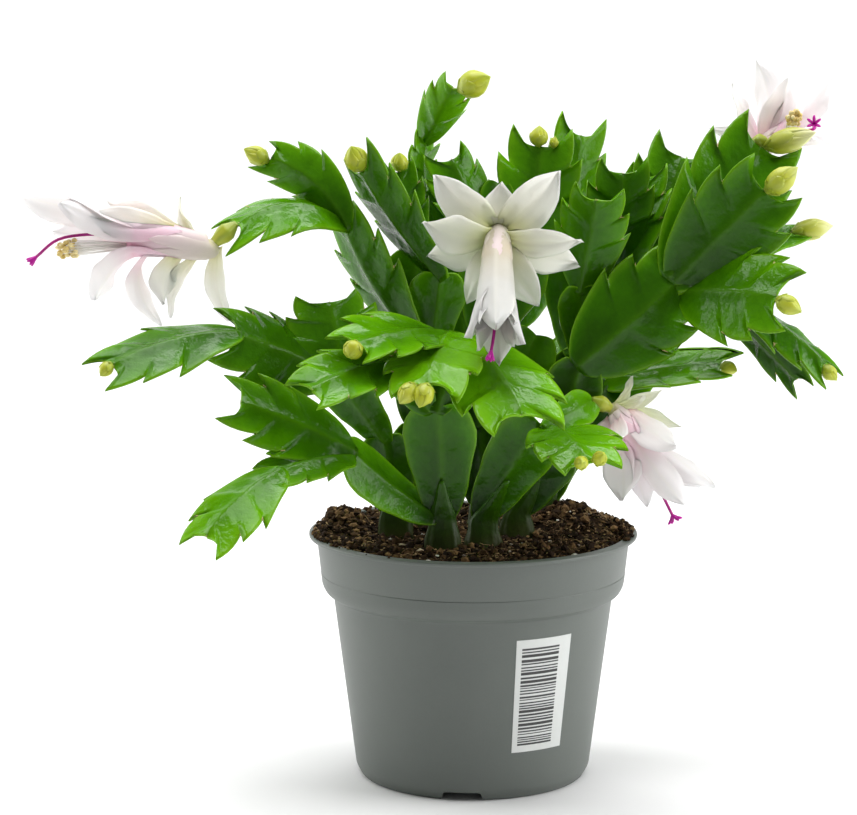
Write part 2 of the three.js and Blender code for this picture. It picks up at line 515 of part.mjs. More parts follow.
// Open blooms: the stem and segment that carry each, the receptacle, the way of the tube as steps from the
// receptacle's end, its radius along that way, and the white petals, one row each: place along the tube,
// turn about it, flare away from it, length, width, twist. Style and stamens start at the mouth of the tube.
const BLOOMS = {
  bloom_left: {
    on: ["leafy_stem_mid_left", "perch", 0],
    receptacle: { aim: [-0.75, -0.1, -0.65], length: 9, width: 6.5 },
    tube: [[-16, -3, 0.5], [-31, -5, 2]], radii: [1.8, 5.2, 6.8], up: [0, 0, 1],
    petals: [
      [0.2, 5, 100, 19, 4, 40], [0.16, 172, 50, 27, 9, 70], [0.45, 178, 78, 24, 8, 60],
      [0.58, 190, 86, 19, 11, 60],
      [0.84, 176, 104, 26, 9, 70], [0.62, 110, 40, 26, 10, 30],
      [0.6, 45, 16, 28, 12, 40], [0.66, -40, 10, 30, 13, -40],
      [0.94, 0, 6, 42, 13, 60], [0.94, 90, 16, 30, 12], [0.94, 196, 52, 21, 12, 50],
      [0.94, 318, 12, 28, 13, -30],
    ],
    style: [[-12, -1, 1], [-24, -1, -1], [-34, -1, -9]], stigma: "club",
    stamens: { aim: [-0.97, -0.2, -0.04], length: 20, count: 4, spread: 3.4, lift: [-0.2, -1.2, -3] },
  },
  bloom_front: {
    on: ["leafy_stem_centre", "bloom_holder", 0],
    receptacle: { aim: [0, -0.92, -0.3], length: 9, width: 6.5 },
    tube: [[-0.5, -13, -6], [-1, -23, -16]], radii: [1.8, 4.4, 6.4], up: [0, 0, 1],
    petals: [
      [0.24, -46, 100, 28, 17], [0.24, -6, 98, 16, 13], [0.24, 48, 100, 28, 16], [0.24, 114, 96, 25, 14],
      [0.24, -112, 96, 29, 15],
      [0.46, 76, 84, 24, 15], [0.46, -84, 84, 26, 12], [0.46, 150, 66, 22, 12], [0.46, -148, 70, 25, 14],
      [0.8, 0, 6, 33, 15], [0.8, 90, 7, 33, 15], [0.82, 180, 9, 35, 14], [0.8, 270, 7, 35, 15],
    ],
    style: [[-0.5, -7, -8], [-1, -12, -15.5], [-2.5, -17, -24]], stigma: "club",
  },
  bloom_right_high: {
    on: ["leafy_stem_right", "upper", -2.5],
    receptacle: { aim: [0.3, 0.92, -0.3], length: 7, width: 6 },
    tube: [[4, 3, 1], [11, 3, 4]], radii: [1.8, 3.6, 5], up: [0, 0, 1],
    petals: [
      [0.2, -30, 128, 26, 11, 60], [0.3, 15, 86, 25, 15, 60], [0.3, -75, 90, 22, 9],
      [0.5, -20, 62, 30, 13, 60],
      [0.92, -8, 20, 26, 14, -50], [0.92, -66, 34, 20, 12], [0.92, 165, 20, 14, 9],
      [0.92, 222, 26, 14, 9],
    ],
    style: [[4, -4, 1], [7, -9, 2], [6, -15, 4]], stigma: "lobes",
    stamens: { aim: [-0.15, -0.9, 0.4], length: 12, count: 3, spread: 3, lift: [0.9, -1.6, 1.2] },
  },
  bloom_right_low: {
    on: ["leafy_stem_front_right", "holder", 0],
    receptacle: { aim: [0.8, 0.3, -0.45], length: 7, width: 5.6 },
    tube: [[5, -2, -6], [11, -3, -14]], radii: [1.8, 4, 5.6], up: [0.75, 0, 0.66],
    petals: [
      [0.14, -14, 84, 12, 4, 30], [0.12, 12, 50, 18, 5, 40], [0.12, 30, 74, 13, 4, 30],
      [0.2, 0, 10, 28, 6, 60], [0.4, 5, 22, 25, 14, 50], [0.5, 182, 68, 15, 12, 50], [0.5, 110, 40, 24, 11],
      [0.6, 200, 26, 27, 16, 80], [0.92, 0, 18, 31, 12, 50], [0.92, 90, 18, 28, 12],
      [0.92, 180, 16, 22, 12, 50], [0.92, 330, 8, 28, 14, 50],
    ],
    style: [[3.5, -2, -8], [7.5, -3, -16], [11.5, -4, -24]], stigma: "lobes",
  },
};

// Direction across an axis, turned about it from the way that is up
function directionAbout(axis, up, degrees) {
  const first = up.clone().addScaledVector(axis, -up.dot(axis)).normalize();
  const turn = THREE.MathUtils.degToRad(degrees);
  return first.multiplyScalar(Math.cos(turn))
    .addScaledVector(new THREE.Vector3().crossVectors(axis, first).normalize(), Math.sin(turn));
}

// Petal along a curve that leaves the tube and flares out
function petalSolid(start, axis, out, [, , flare, length, width, twist = 0]) {
  const lean = (share, reach) => {
    const angle = THREE.MathUtils.degToRad(flare * share);
    return start.clone()
      .addScaledVector(axis, Math.cos(angle) * reach)
      .addScaledVector(out, Math.sin(angle) * reach);
  };
  const curve = new THREE.QuadraticBezierCurve3(start, lean(0.55, length * 0.5), lean(1, length));
  const side = new THREE.Vector3().crossVectors(out, axis).normalize()
    .applyAxisAngle(curve.getTangent(0.6), THREE.MathUtils.degToRad(twist));
  const spot = (share, sideways) => {
    const normal = new THREE.Vector3().crossVectors(side, curve.getTangent(share)).normalize();
    const dish = sideways === 0 ? 0 : PETAL_DISH * width;
    const at = curve.getPoint(share).addScaledVector(side, sideways).addScaledVector(normal, dish);
    return { at, normal, half: PETAL_HALF };
  };
  const rows = PETAL_OUTLINE.map(({ along, out: share }) => {
    const half = (share * width) / 2;
    return [spot(along, -half), spot(along, 0), spot(along, half)];
  });
  return solid(bladeGeometry(rows, spot(1, 0)));
}

// Middle of a bud's or receptacle's flat base, clear of the segment that carries it
function seatOn(stem, segment, shift, aim, radius) {
  const holder = stems.find((item) => item.name === stem).ends[segment];
  const tilt = Math.sin(holder.along.angleTo(aim));
  return holder.tip.clone()
    .addScaledVector(holder.side, shift)
    .addScaledVector(holder.along, SEAT + radius * tilt);
}

function growReceptacle(name, base, neck, radius) {
  const aim = neck.clone().sub(base).normalize();
  const rings = [[0, 0.3], [0.4, 1], [1, 0.55]].map(([share, wide]) => {
    return ringAcross(base.clone().lerp(neck, share), aim, 5, radius * wide);
  });
  addMesh(`${name}_receptacle`, geometryOf(solid(loftGeometry(rings))), BUD_GREEN, 0.45);
}

// White tube with its petals
function growPetals(name, { radii, petals }, curve, up) {
  const radiusAt = (share) => {
    const place = share * (radii.length - 1);
    const low = Math.min(Math.floor(place), radii.length - 2);
    return THREE.MathUtils.lerp(radii[low], radii[low + 1], place - low);
  };
  const tube = solid(loftGeometry([0, 0.3, 0.65, 1].map((share) => {
    return ringAcross(curve.getPoint(share), curve.getTangent(share), 7, radiusAt(share));
  })));
  const blades = petals.map((row) => {
    const axis = curve.getTangent(row[0]);
    const out = directionAbout(axis, up, row[1]);
    const root = curve.getPoint(row[0]).addScaledVector(out, radiusAt(row[0]) * 0.7);
    return petalSolid(root, axis, out, row);
  });
  addMesh(`${name}_petals`, geometryOf(joinAll([tube, ...blades])), WHITE, 0.6);
}

// Style that ends in a club or in spread lobes
function growStyle(name, { style, stigma }, mouth, up) {
  const points = [mouth, ...style.map((step) => mouth.clone().add(vec(step)))];
  const end = points.at(-1);
  const aim = end.clone().sub(points.at(-2)).normalize();
  const tipRadius = stigma === "club" ? STIGMA_RADIUS : STYLE_RADIUS;
  const thin = Array(4).fill(STYLE_RADIUS);
  const stalk = rod(points, [...thin, tipRadius, tipRadius], 5);
  const lobes = Array.from({ length: stigma === "lobes" ? STIGMA_LOBES.count : 0 }, (_, i) => {
    const out = directionAbout(aim, up, (i * 360) / STIGMA_LOBES.count);
    const lobeAim = out.multiplyScalar(0.7).add(aim).normalize();
    const from = end.clone().addScaledVector(aim, -0.8);
    const to = from.clone().addScaledVector(lobeAim, STIGMA_LOBES.length);
    return rod([from, to], [STYLE_RADIUS * 0.8, STYLE_RADIUS], 3);
  });
  addMesh(`${name}_style`, geometryOf(joinAll([stalk, ...lobes])), MAGENTA, 0.4);
}

// Brush of stamens from one root: a filament down the middle and the rest spread round it
function growStamens(name, { aim: aimList, length, count, spread, lift }, mouth, up) {
  const aim = vec(aimList).normalize();
  const root = mouth.clone().add(vec(lift));
  const stamens = Array.from({ length: count }, (_, i) => {
    const out = directionAbout(aim, up, (i * 360) / count);
    const end = root.clone()
      .addScaledVector(aim, length - (i % 3))
      .addScaledVector(out, i === 0 ? 0 : spread);
    const run = end.clone().sub(root).normalize();
    const anther = [[-0.8, 0.3], [0.3, 1], [1.4, 0.3]].map(([step, wide]) => {
      return ringAcross(end.clone().addScaledVector(run, step), run, 3, wide * ANTHER_RADIUS);
    });
    return rod([root, end], [FILAMENT_RADIUS, FILAMENT_RADIUS * 0.8], 3).add(solid(loftGeometry(anther)));
  });
  addMesh(`${name}_stamens`, geometryOf(joinAll(stamens)), YELLOW, 0.7);
}

function growBloom(name, bloom) {
  const aim = vec(bloom.receptacle.aim).normalize();
  const radius = bloom.receptacle.width / 2;
  const base = seatOn(...bloom.on, aim, radius * 0.3);
  const neck = base.clone().addScaledVector(aim, bloom.receptacle.length);
  const start = neck.clone().addScaledVector(aim, GAP);
  const bend = start.clone().addScaledVector(aim, 2.5);
  const steps = bloom.tube.map((step) => neck.clone().add(vec(step)));
  const curve = new THREE.CatmullRomCurve3([start, bend, ...steps]);
  const mouth = curve.getPoint(1).addScaledVector(curve.getTangent(1), MOUTH_GAP);
  const up = vec(bloom.up);
  growReceptacle(name, base, neck, radius);
  growPetals(name, bloom, curve, up);
  growStyle(name, bloom, mouth, up);
  if (bloom.stamens) {
    growStamens(name, bloom.stamens, mouth, up);
  }
}

function growBud([name, stem, segment, shift, aimList, length, width]) {
  const aim = vec(aimList).normalize();
  const base = seatOn(stem, segment, shift, aim, width / 8);
  const outline = [[0, 0.25], [0.25, 0.82], [0.6, 1], [1, 0.12]];
  const rings = outline.map(([share, wide]) => {
    return ringAcross(base.clone().addScaledVector(aim, share * length), aim, 5, (wide * width) / 2);
  });
  addMesh(name, geometryOf(solid(loftGeometry(rings))), BUD_GREEN, 0.45);
}

const stems = Object.entries(STEMS).map(([name, plan]) => ({ name, ...growStem(name, plan) }));
const holes = Object.values(STEMS).map(({ foot, top }) => footSolid(foot, top, GAP + 0.05));
const soil = holes.reduce((body, hole) => body.subtract(hole), soilSolid());
addMesh("pot", geometryOf(potSolid()), POT_GREY, 0.55);
addMesh("soil", geometryOf(soil), SOIL_BROWN, 0.95);
stems.forEach(({ name, body }) => addMesh(name, geometryOf(body), GREEN, 0.4));
BUDS.forEach(growBud);
Object.entries(BLOOMS).forEach(([name, bloom]) => growBloom(name, bloom));

export default plant;
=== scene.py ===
"""Potted christmas cactus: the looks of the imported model, piece by piece.

Sizes are in millimetres and in the row frame of the part's source, and become metres where a mesh is made.
"""

import math
import random

import bmesh
import bpy
import numpy as np
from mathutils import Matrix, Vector, noise


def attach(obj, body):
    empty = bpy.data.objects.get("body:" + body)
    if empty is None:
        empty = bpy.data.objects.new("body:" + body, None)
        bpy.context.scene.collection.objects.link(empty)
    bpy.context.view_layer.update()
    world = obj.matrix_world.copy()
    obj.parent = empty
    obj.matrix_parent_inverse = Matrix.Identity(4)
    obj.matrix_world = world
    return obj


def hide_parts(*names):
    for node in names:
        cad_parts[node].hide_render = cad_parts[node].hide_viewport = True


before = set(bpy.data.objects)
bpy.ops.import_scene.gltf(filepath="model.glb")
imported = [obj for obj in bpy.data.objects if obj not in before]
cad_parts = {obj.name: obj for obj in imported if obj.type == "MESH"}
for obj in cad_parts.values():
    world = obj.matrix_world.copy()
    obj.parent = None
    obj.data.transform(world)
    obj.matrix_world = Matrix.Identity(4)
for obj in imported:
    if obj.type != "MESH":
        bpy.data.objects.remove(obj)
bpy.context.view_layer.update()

MM = 0.001

# Pot
POT_HEIGHT = 90
LIP_RADIUS = 60
LIP_HEIGHT = 1.6
BAND_TOP_RADIUS = 57.2
BAND_FOOT_RADIUS = 55.3
BAND_FOOT_Z = 71
BODY_TOP_RADIUS = 51.2
BODY_TOP_Z = 67
BODY_FOOT_RADIUS = 43
BODY_FOOT_Z = 3.5
WALL = 1.3
FOOT_RADIUS = 41
FOOT_RING_WIDTH = 4.5
FLOOR_LIFT = 3.5
PAD_RADIUS = 10
POT_SIDES = 128
NOTCH = {"count": 4, "width": 15, "height": 3.2, "first_turn": -6}
DRAIN = {"count": 6, "radius": 4, "ring_radius": 27, "sides": 24}
SEAM_Z = 75.5
SEAM_DEPTH = 0.16
SHARP_ANGLE = 32
LABEL = {"turns": (17, 43), "heights": (18, 60), "lift": 0.12}

# Soil: a heap is its middle, height and spread; a spill on the lip is its middle turn, spread and count; the
# wall runs down from the top as radius and height
SOIL_LEVEL = 88
SOIL_HEAPS = [(34, 16, 8, 15), (-50, 10, 7, 11), (-6, 30, 3, 22)]
SOIL_RADIUS = 55.1
SOIL_WALL = [(54.4, 84), (53.2, 73), (49.0, 69), (41.0, 5.3)]
SOIL_SIDES = 150
SOIL_ROWS = 60
LOOSE_RADIUS = 54.6
HEAP_RADIUS = 54
FIBRE_RADIUS = 54.5
SPILL_RADII = (54, 58.6)
FOOT_ROOM = (7, 5)
SPILLS = [(178, 18, 280), (4, 14, 150)]
CRUMBS = 3600
FLAKES = 1100
PEBBLES = 56
FIBRES = 420

# Stems
RIB_HALF = 1.35
EDGE_HALF = 0.42
JOINT_SINK = 2.4
SEGMENT_END = 0.955
FOOT_HALF = (6, 3.8)
FOOT_DEPTH = 10
FOOT_RISE = 13
FOOT_SIDES = 30
FOOT_ROWS = 28

# Buds and blooms
SEAT = 0.5
GAP = 0.3
BASE_SINK = SEAT + 0.4
MOUTH_GAP = 0.5
MOUTH_PLACE = 0.7
PETAL_HALF = 0.14
PETAL_DISH = 0.1
PETAL_ROWS = 25
PETAL_COLUMNS = 13
CLASP_ROWS = 7
SMALL_PETAL = 7
TUBE_SIDES = 30
BUD_SIDES = 26
BUD_ROWS = 22
STYLE_RADIUS = 0.55
STIGMA_LOBES = 6
STAMENS = 36
FILAMENT_RADIUS = 0.13
GOLDEN_ANGLE = 137.5

# Scales of a bud, ring by ring: count, first turn, foot and tip along it, half spread, lift of the tip, tone
BUD_SCALES = [
    (3, 0, 0.2, 0.95, 1.0, 0.1, 0.5),
    (3, 1.05, 0.06, 0.64, 0.9, 0.3, 0.8),
    (5, 0.4, 0.0, 0.25, 0.5, 0.6, 1.0),
]

# Camera, fitted to the photograph: place in metres, pitch in degrees, and the lens for a 36 mm sensor
CAMERA_AT = (-0.0163, -1.0, 0.288)
CAMERA_PITCH = -8.67
CAMERA_LENS = 116.78

# Lights: name, place, what it points at, size, all in metres, and power in watts
LIGHTS = [
    ("left", (-1.1, 0.32, 0.5), (0, 0, 0.1), (0.8, 1.0), 8.8),
    ("right", (1.1, -0.15, 0.55), (0, 0, 0.1), (0.8, 1.0), 12),
    ("top", (-0.1, -0.12, 1.2), (0, 0, 0.1), (0.7, 0.6), 7.8),
    ("backdrop", (0, 0.9, 2.2), (0, 1.9, 0.2), (3.0, 0.8), 60),
]
WORLD_STRENGTH = 0.15

# Outline of a segment: place along it, share of the half width, place on the rib, whether it is a tooth, then
# how the edge runs on from there: the push that bends that stretch, and its number of steps
TOOTHED_OUTLINE = [
    (0.0, 0.2, 0.0, 0, (-0.05, 0.12), 5),
    (0.3, 0.88, 0.2, 0, (0.02, 0.07), 5),
    (0.59, 1.12, 0.38, 1, (-0.024, -0.04), 3),
    (0.565, 0.95, 0.44, 0, (-0.04, 0.14), 5),
    (0.83, 1.0, 0.6, 1, (-0.026, -0.01), 3),
    (0.795, 0.8, 0.68, 0, (0.0, 0.17), 5),
    (1.06, 0.64, 0.79, 1, (-0.05, 0.0), 4),
    (0.97, 0.4, 0.88, 0, (-0.015, 0.0), 4),
]

# The same for an old segment, which has no teeth
SMOOTH_OUTLINE = [
    (0.0, 0.26, 0.0, 0, (-0.05, 0.1), 6),
    (0.34, 0.74, 0.24, 0, (0.0, 0.06), 6),
    (0.72, 1.0, 0.62, 0, (0.05, 0.12), 6),
    (0.98, 0.55, 0.86, 0, (0.03, 0.06), 5),
]

# Shares of the half width, from the rib to the edge, at which a blade has points
ACROSS = [0, 0.07, 0.16, 0.3, 0.48, 0.66, 0.82, 0.94, 1.0]

# Leafy stems, as in the part's source: place of the foot and height of its top, then for each segment its
# name, what it grows from, its shift along that end, its tip, its width and the way it faces. Then, where
# they aren't 0, 0, 1 and 0: its bow, its cup, the size of its teeth (OLD for none) and its sweep.
OLD = 0
STEMS = {
    "leafy_stem_front": (
        (-11, -27), 101,
        ("fan", "foot", 0, (-13, -37, 143), 27, (0, -1, 0.15), -2, -1, OLD),
        ("neck", "fan", 0, (-6, -33, 166), 20, (0.2, -1, 0.5), 0, 0, OLD),
        ("shine", "neck", 3, (16, -74, 142), 37, (0.25, -0.6, 0.75), 4, -2, 0.5),
        ("bright", "neck", -3, (-17, -74, 153), 32, (-0.1, -0.5, 0.85), 4, -1, 0.6),
        ("ledge", "neck", -5, (-42, -64, 166), 28, (-0.1, -0.5, 0.85), 3, 1, 0.8),
        ("elbow", "fan", -4, (-27, -48, 158), 16, (-0.2, -1, 0.4), 0, 0, OLD),
        ("low_ledge", "elbow", 0, (-57, -76, 152), 26, (-0.1, -0.6, 0.8), 3, 1, 0.6),
        ("branch", "foot", -4, (-45, -38, 127), 24, (-0.35, -0.5, 0.8), -2, -2, OLD),
        ("claw", "branch", 0, (-83, -52, 146), 24, (0.25, -0.75, 0.6), 2, -1, 1.3),
        ("drop", "branch", -4, (-69, -60, 121), 22, (-0.05, -0.45, 0.9), 2, 1),
        ("hang", "drop", 0, (-92, -84, 103), 24, (-0.45, -0.75, 0.5), 3, -2, 0.6),
    ),
    "leafy_stem_front_right": (
        (3, -21), 100,
        ("lean", "foot", 0, (24, -31, 136), 25, (0.1, -1, 0.1), -2, -1, OLD),
        ("shelf", "lean", 5, (39, -61, 125), 30, (0.15, -0.6, 0.8), 3, 0, 0.7),
        ("holder", "lean", 3, (43, -12, 140), 14, (0.3, -0.8, 0.5), 2, 0, OLD),
    ),
    "leafy_stem_left": (
        (-28, -4), 97,
        ("low", "foot", 0, (-33, -9, 127), 22, (0, -1, 0), 0, 0, OLD),
        ("knee", "low", 0, (-51, -20, 152), 20, (-0.3, -0.9, 0), 0, 0, OLD),
        ("gloss", "knee", 3, (-52, -15, 177), 30, (0.1, -0.75, 0.65), 2, -2),
        ("reach", "knee", -2, (-86, -36, 167), 28, (-0.15, -0.75, 0.6), 3, -4, 1.2),
        ("far_end", "reach", 0, (-126, -60, 158), 25, (-0.1, -0.5, 0.85), 4, -2, 0.8),
    ),
    "leafy_stem_mid_left": (
        (-17, 9), 98,
        ("low", "foot", 0, (-20, 5, 130), 23, (0, -1, 0), 0, 0, OLD),
        ("tall", "low", 0, (-18, 1, 161), 25, (0, -1, 0), 0, 0, OLD),
        ("wall", "tall", -3, (-21, 6, 193), 25, (-0.1, -1, 0), 0, -1, OLD),
        ("front_wall", "tall", 3, (-12, -8, 186), 22, (0.1, -1, 0), 0, -1, OLD),
        ("arm", "tall", -2, (-47, 0, 204), 25, (-0.66, -0.66, -0.35), 3, -2, 0.6),
        ("high", "arm", 0, (-75, 12, 226), 17, (-0.3, -0.9, 0.1), 2, -2, 1.2, 5),
        ("perch", "arm", -3, (-86, -15, 202), 25, (0.05, -0.36, 0.93), 9, -3),
        ("bud_arm", "front_wall", 0, (-41, -5, 224), 23, (-0.6, -0.6, -0.4), 2, -2, 1.3),
        ("twig_right", "wall", 0, (-27, 12, 222), 14, (-0.1, -0.9, 0.1)),
    ),
    "leafy_stem_centre": (
        (4, 9), 98,
        ("low", "foot", 0, (3, 9, 130), 23, (0, -1, 0), 0, 0, OLD),
        ("tall", "low", 0, (0, 12, 162), 25, (0, -1, 0), 0, 0, OLD),
        ("left_high", "tall", -3, (-8, 17, 191), 22, (0, -1, 0), 0, 0, OLD),
        ("joint", "left_high", -2, (-18, 22, 213), 13, (0.3, -0.9, 0), 0, 0, OLD),
        ("spire", "joint", 0, (-17, 22, 233), 17, (0.85, -0.5, 0), -2),
        ("spire_end", "spire", 0, (-7, 5, 252), 14, (0.1, -1, 0.1), 2, -4),
        ("right_low", "low", 5, (24, 14, 162), 24, (0, -1, 0), 0, 0, OLD),
        ("mid_high", "tall", 3, (6, 12, 196), 22, (0, -1, 0), 0, 0, OLD),
        ("dark_left", "mid_high", -2, (-9, 15, 226), 22, (0.3, -0.7, 0.6), 2, -2, 1.2),
        ("dark_right", "mid_high", 2, (9, 18, 217), 14, (0.2, -0.7, 0.6), 2, 0, OLD),
        ("bloom_holder", "mid_high", 0, (8, -20, 205), 16, (0, 0.3, 1), 3, 0, OLD),
        ("right_high", "tall", 6, (22, 16, 191), 22, (0, -1, 0), 0, 0, OLD),
        ("flat_top", "right_high", 0, (25, 21, 231), 27, (0, -1, 0.1), 0, 1, 1.3),
    ),
    "leafy_stem_right": (
        (16, -6), 99,
        ("low", "foot", 0, (31, -8, 126), 24, (0.1, -1, 0), 0, 0, OLD),
        ("dark", "low", 0, (39, -7, 154), 22, (0.1, -1, 0), 0, 0, OLD),
        ("big", "dark", 0, (75, 2, 183), 34, (0.25, -0.95, 0.2), 2, -2, 0.7),
        ("upper", "big", -3, (107, 20, 231), 34, (0.1, -0.95, 0.15), 2, 1, 1.1),
        ("middle", "big", 0, (105, -10, 217), 32, (0.1, -0.95, 0.2), 2, 1, 1.1),
        ("lower", "big", 6, (108, -30, 179), 32, (0.1, -0.9, 0.4), 3, -2, 0.9),
        ("slim", "big", 3, (119, 18, 198), 15, (0.3, -0.35, 0.9), 3, 0, 0.4),
        ("drop", "big", 9, (94, 4, 172), 15, (0, -0.9, 0.4), 0, 0, OLD),
        ("drop_upper", "drop", -2, (127, -13, 151), 17, (0.3, -0.45, 0.85), 3, -2),
        ("drop_lower", "drop", 3, (119, 3, 144), 15, (-0.5, -0.7, -0.4), -2),
        ("shade", "low", 3, (52, 15, 143), 22, (0, -0.55, 0.85), 1, 0, OLD),
        ("flag", "shade", 0, (92, 0, 151), 27, (0.1, -0.4, 0.92), 2, 1, 0.8),
    ),
    "leafy_stem_back_right": (
        (26, 16), 98,
        ("low", "foot", 0, (33, 25, 124), 22, (0, -1, 0), 0, 0, OLD),
        ("mid", "low", 0, (41, 20, 154), 22, (0, -1, 0), 0, 0, OLD),
        ("low_side", "low", 7, (64, 29, 156), 26, (0, -1, 0.2), 0, 0, OLD),
        ("forward", "mid", 0, (39, 4, 180), 18, (0, -1, 0.6), 0, 0, OLD),
        ("leaf", "forward", 0, (44, -8, 213), 23, (-0.1, -1, 0.1), -2, -3, 0.9),
        ("back_tall", "mid", -3, (36, 35, 193), 22, (0, -1, 0), 0, 0, OLD),
        ("shine", "back_tall", 0, (41, 43, 234), 26, (0.6, -0.75, 0.3), -2, 0, 1.3),
        ("side", "mid", 4, (58, 27, 184), 22, (0, -1, 0), 0, 0, OLD),
        ("side_left", "side", -5, (55, 22, 221), 23, (0.1, -0.9, 0.2), 2),
        ("side_mid", "side", 0, (65, 34, 219), 24, (-0.6, -0.7, 0.5), 2),
        ("side_right", "side", 7, (79, 44, 226), 28, (0, -0.95, 0.2), 2, 0, 1.2),
    ),
    "leafy_stem_back": (
        (8, 30), 99,
        ("low", "foot", 0, (12, 38, 130), 22, (0, 1, 0), 0, 0, OLD),
        ("mid", "low", 0, (10, 46, 162), 22, (0, 1, 0.1), 0, 0, OLD),
        ("high_left", "mid", 5, (-6, 58, 198), 25, (0.1, 1, 0.3), 2),
        ("high_right", "mid", -5, (26, 62, 196), 26, (-0.1, 1, 0.4), 2),
        ("out", "low", 0, (9, 74, 140), 26, (0, 0.5, 0.85), 4, -2),
        ("out_end", "out", 0, (13, 104, 126), 25, (0, 0.75, 0.6), 4, -2),
        ("wide", "low", -5, (42, 58, 152), 24, (-0.3, 0.7, 0.6), 3),
        ("wide_end", "wide", 0, (60, 88, 150), 26, (0, 0.6, 0.8), 3, -1),
    ),
    "leafy_stem_back_left": (
        (-12, 26), 99,
        ("low", "foot", 0, (-14, 34, 128), 20, (0, 1, 0), 0, 0, OLD),
        ("high", "low", 0, (-16, 42, 168), 20, (0, 1, 0.1), 0, 0, OLD),
        ("out", "low", 0, (-25, 66, 148), 24, (0, 0.6, 0.8), 3),
        ("out_end", "out", 0, (-30, 96, 146), 24, (0, 0.5, 0.85), 4, -2),
    ),
}

# Buds: name, stem and segment that carry it, shift along its end, direction, length and width
BUDS = [
    ["bud_left_high", "leafy_stem_mid_left", "high", -2, [-0.85, -0.3, 0.45], 9.5, 6.5],
    ["bud_inner_left", "leafy_stem_mid_left", "bud_arm", -0.5, [-0.3, -0.6, 0.85], 10.5, 8],
    ["bud_twig", "leafy_stem_mid_left", "twig_right", 0, [0, -0.4, 1], 6.5, 6],
    ["bud_top", "leafy_stem_centre", "spire_end", 2.8, [0.85, -0.5, 0.38], 13, 9.5],
    ["bud_beads", "leafy_stem_centre", "joint", 4, [0.75, -0.65, 0.1], 6, 3.4],
    ["bud_flat_top", "leafy_stem_centre", "flat_top", -1, [0.05, -0.2, 1], 7, 6.5],
    ["bud_flat_top_small", "leafy_stem_centre", "flat_top", 4.5, [0.2, -0.2, 1], 3.6, 3],
    ["bud_right_high", "leafy_stem_right", "upper", 1.5, [0.86, -0.5, 0.3], 20, 8.5],
    ["bud_right_middle", "leafy_stem_right", "middle", 1, [0.72, -0.2, 0.62], 13.5, 8.5],
    ["bud_right_slim", "leafy_stem_right", "slim", 0, [0.96, 0.22, 0.14], 15.5, 7.5],
    ["bud_right_lower", "leafy_stem_right", "lower", 1, [0.75, -0.38, -0.4], 9.5, 6.5],
    ["bud_right_drop", "leafy_stem_right", "drop_upper", 1, [0.6, -0.3, -0.6], 6.5, 5],
    ["bud_flag", "leafy_stem_right", "flag", 1, [0.75, -0.5, -0.2], 6, 5],
    ["bud_shelf_left", "leafy_stem_front_right", "shelf", 3, [0, -0.7, 0.2], 5.5, 4.5],
    ["bud_shelf_right", "leafy_stem_front_right", "shelf", -3, [0.3, -0.6, 0.5], 5.5, 4.8],
    ["bud_front_left", "leafy_stem_front", "bright", 4.6, [-0.55, -0.65, -0.6], 9, 6],
    ["bud_front_right", "leafy_stem_front", "bright", 0, [-0.3, -0.65, -0.75], 9, 6.5],
    ["bud_ledge", "leafy_stem_front", "ledge", 0, [-0.3, -0.8, -0.5], 6.5, 6.5],
    ["bud_far_left", "leafy_stem_left", "far_end", 1, [-0.5, -0.5, -0.6], 5.5, 4.5],
]

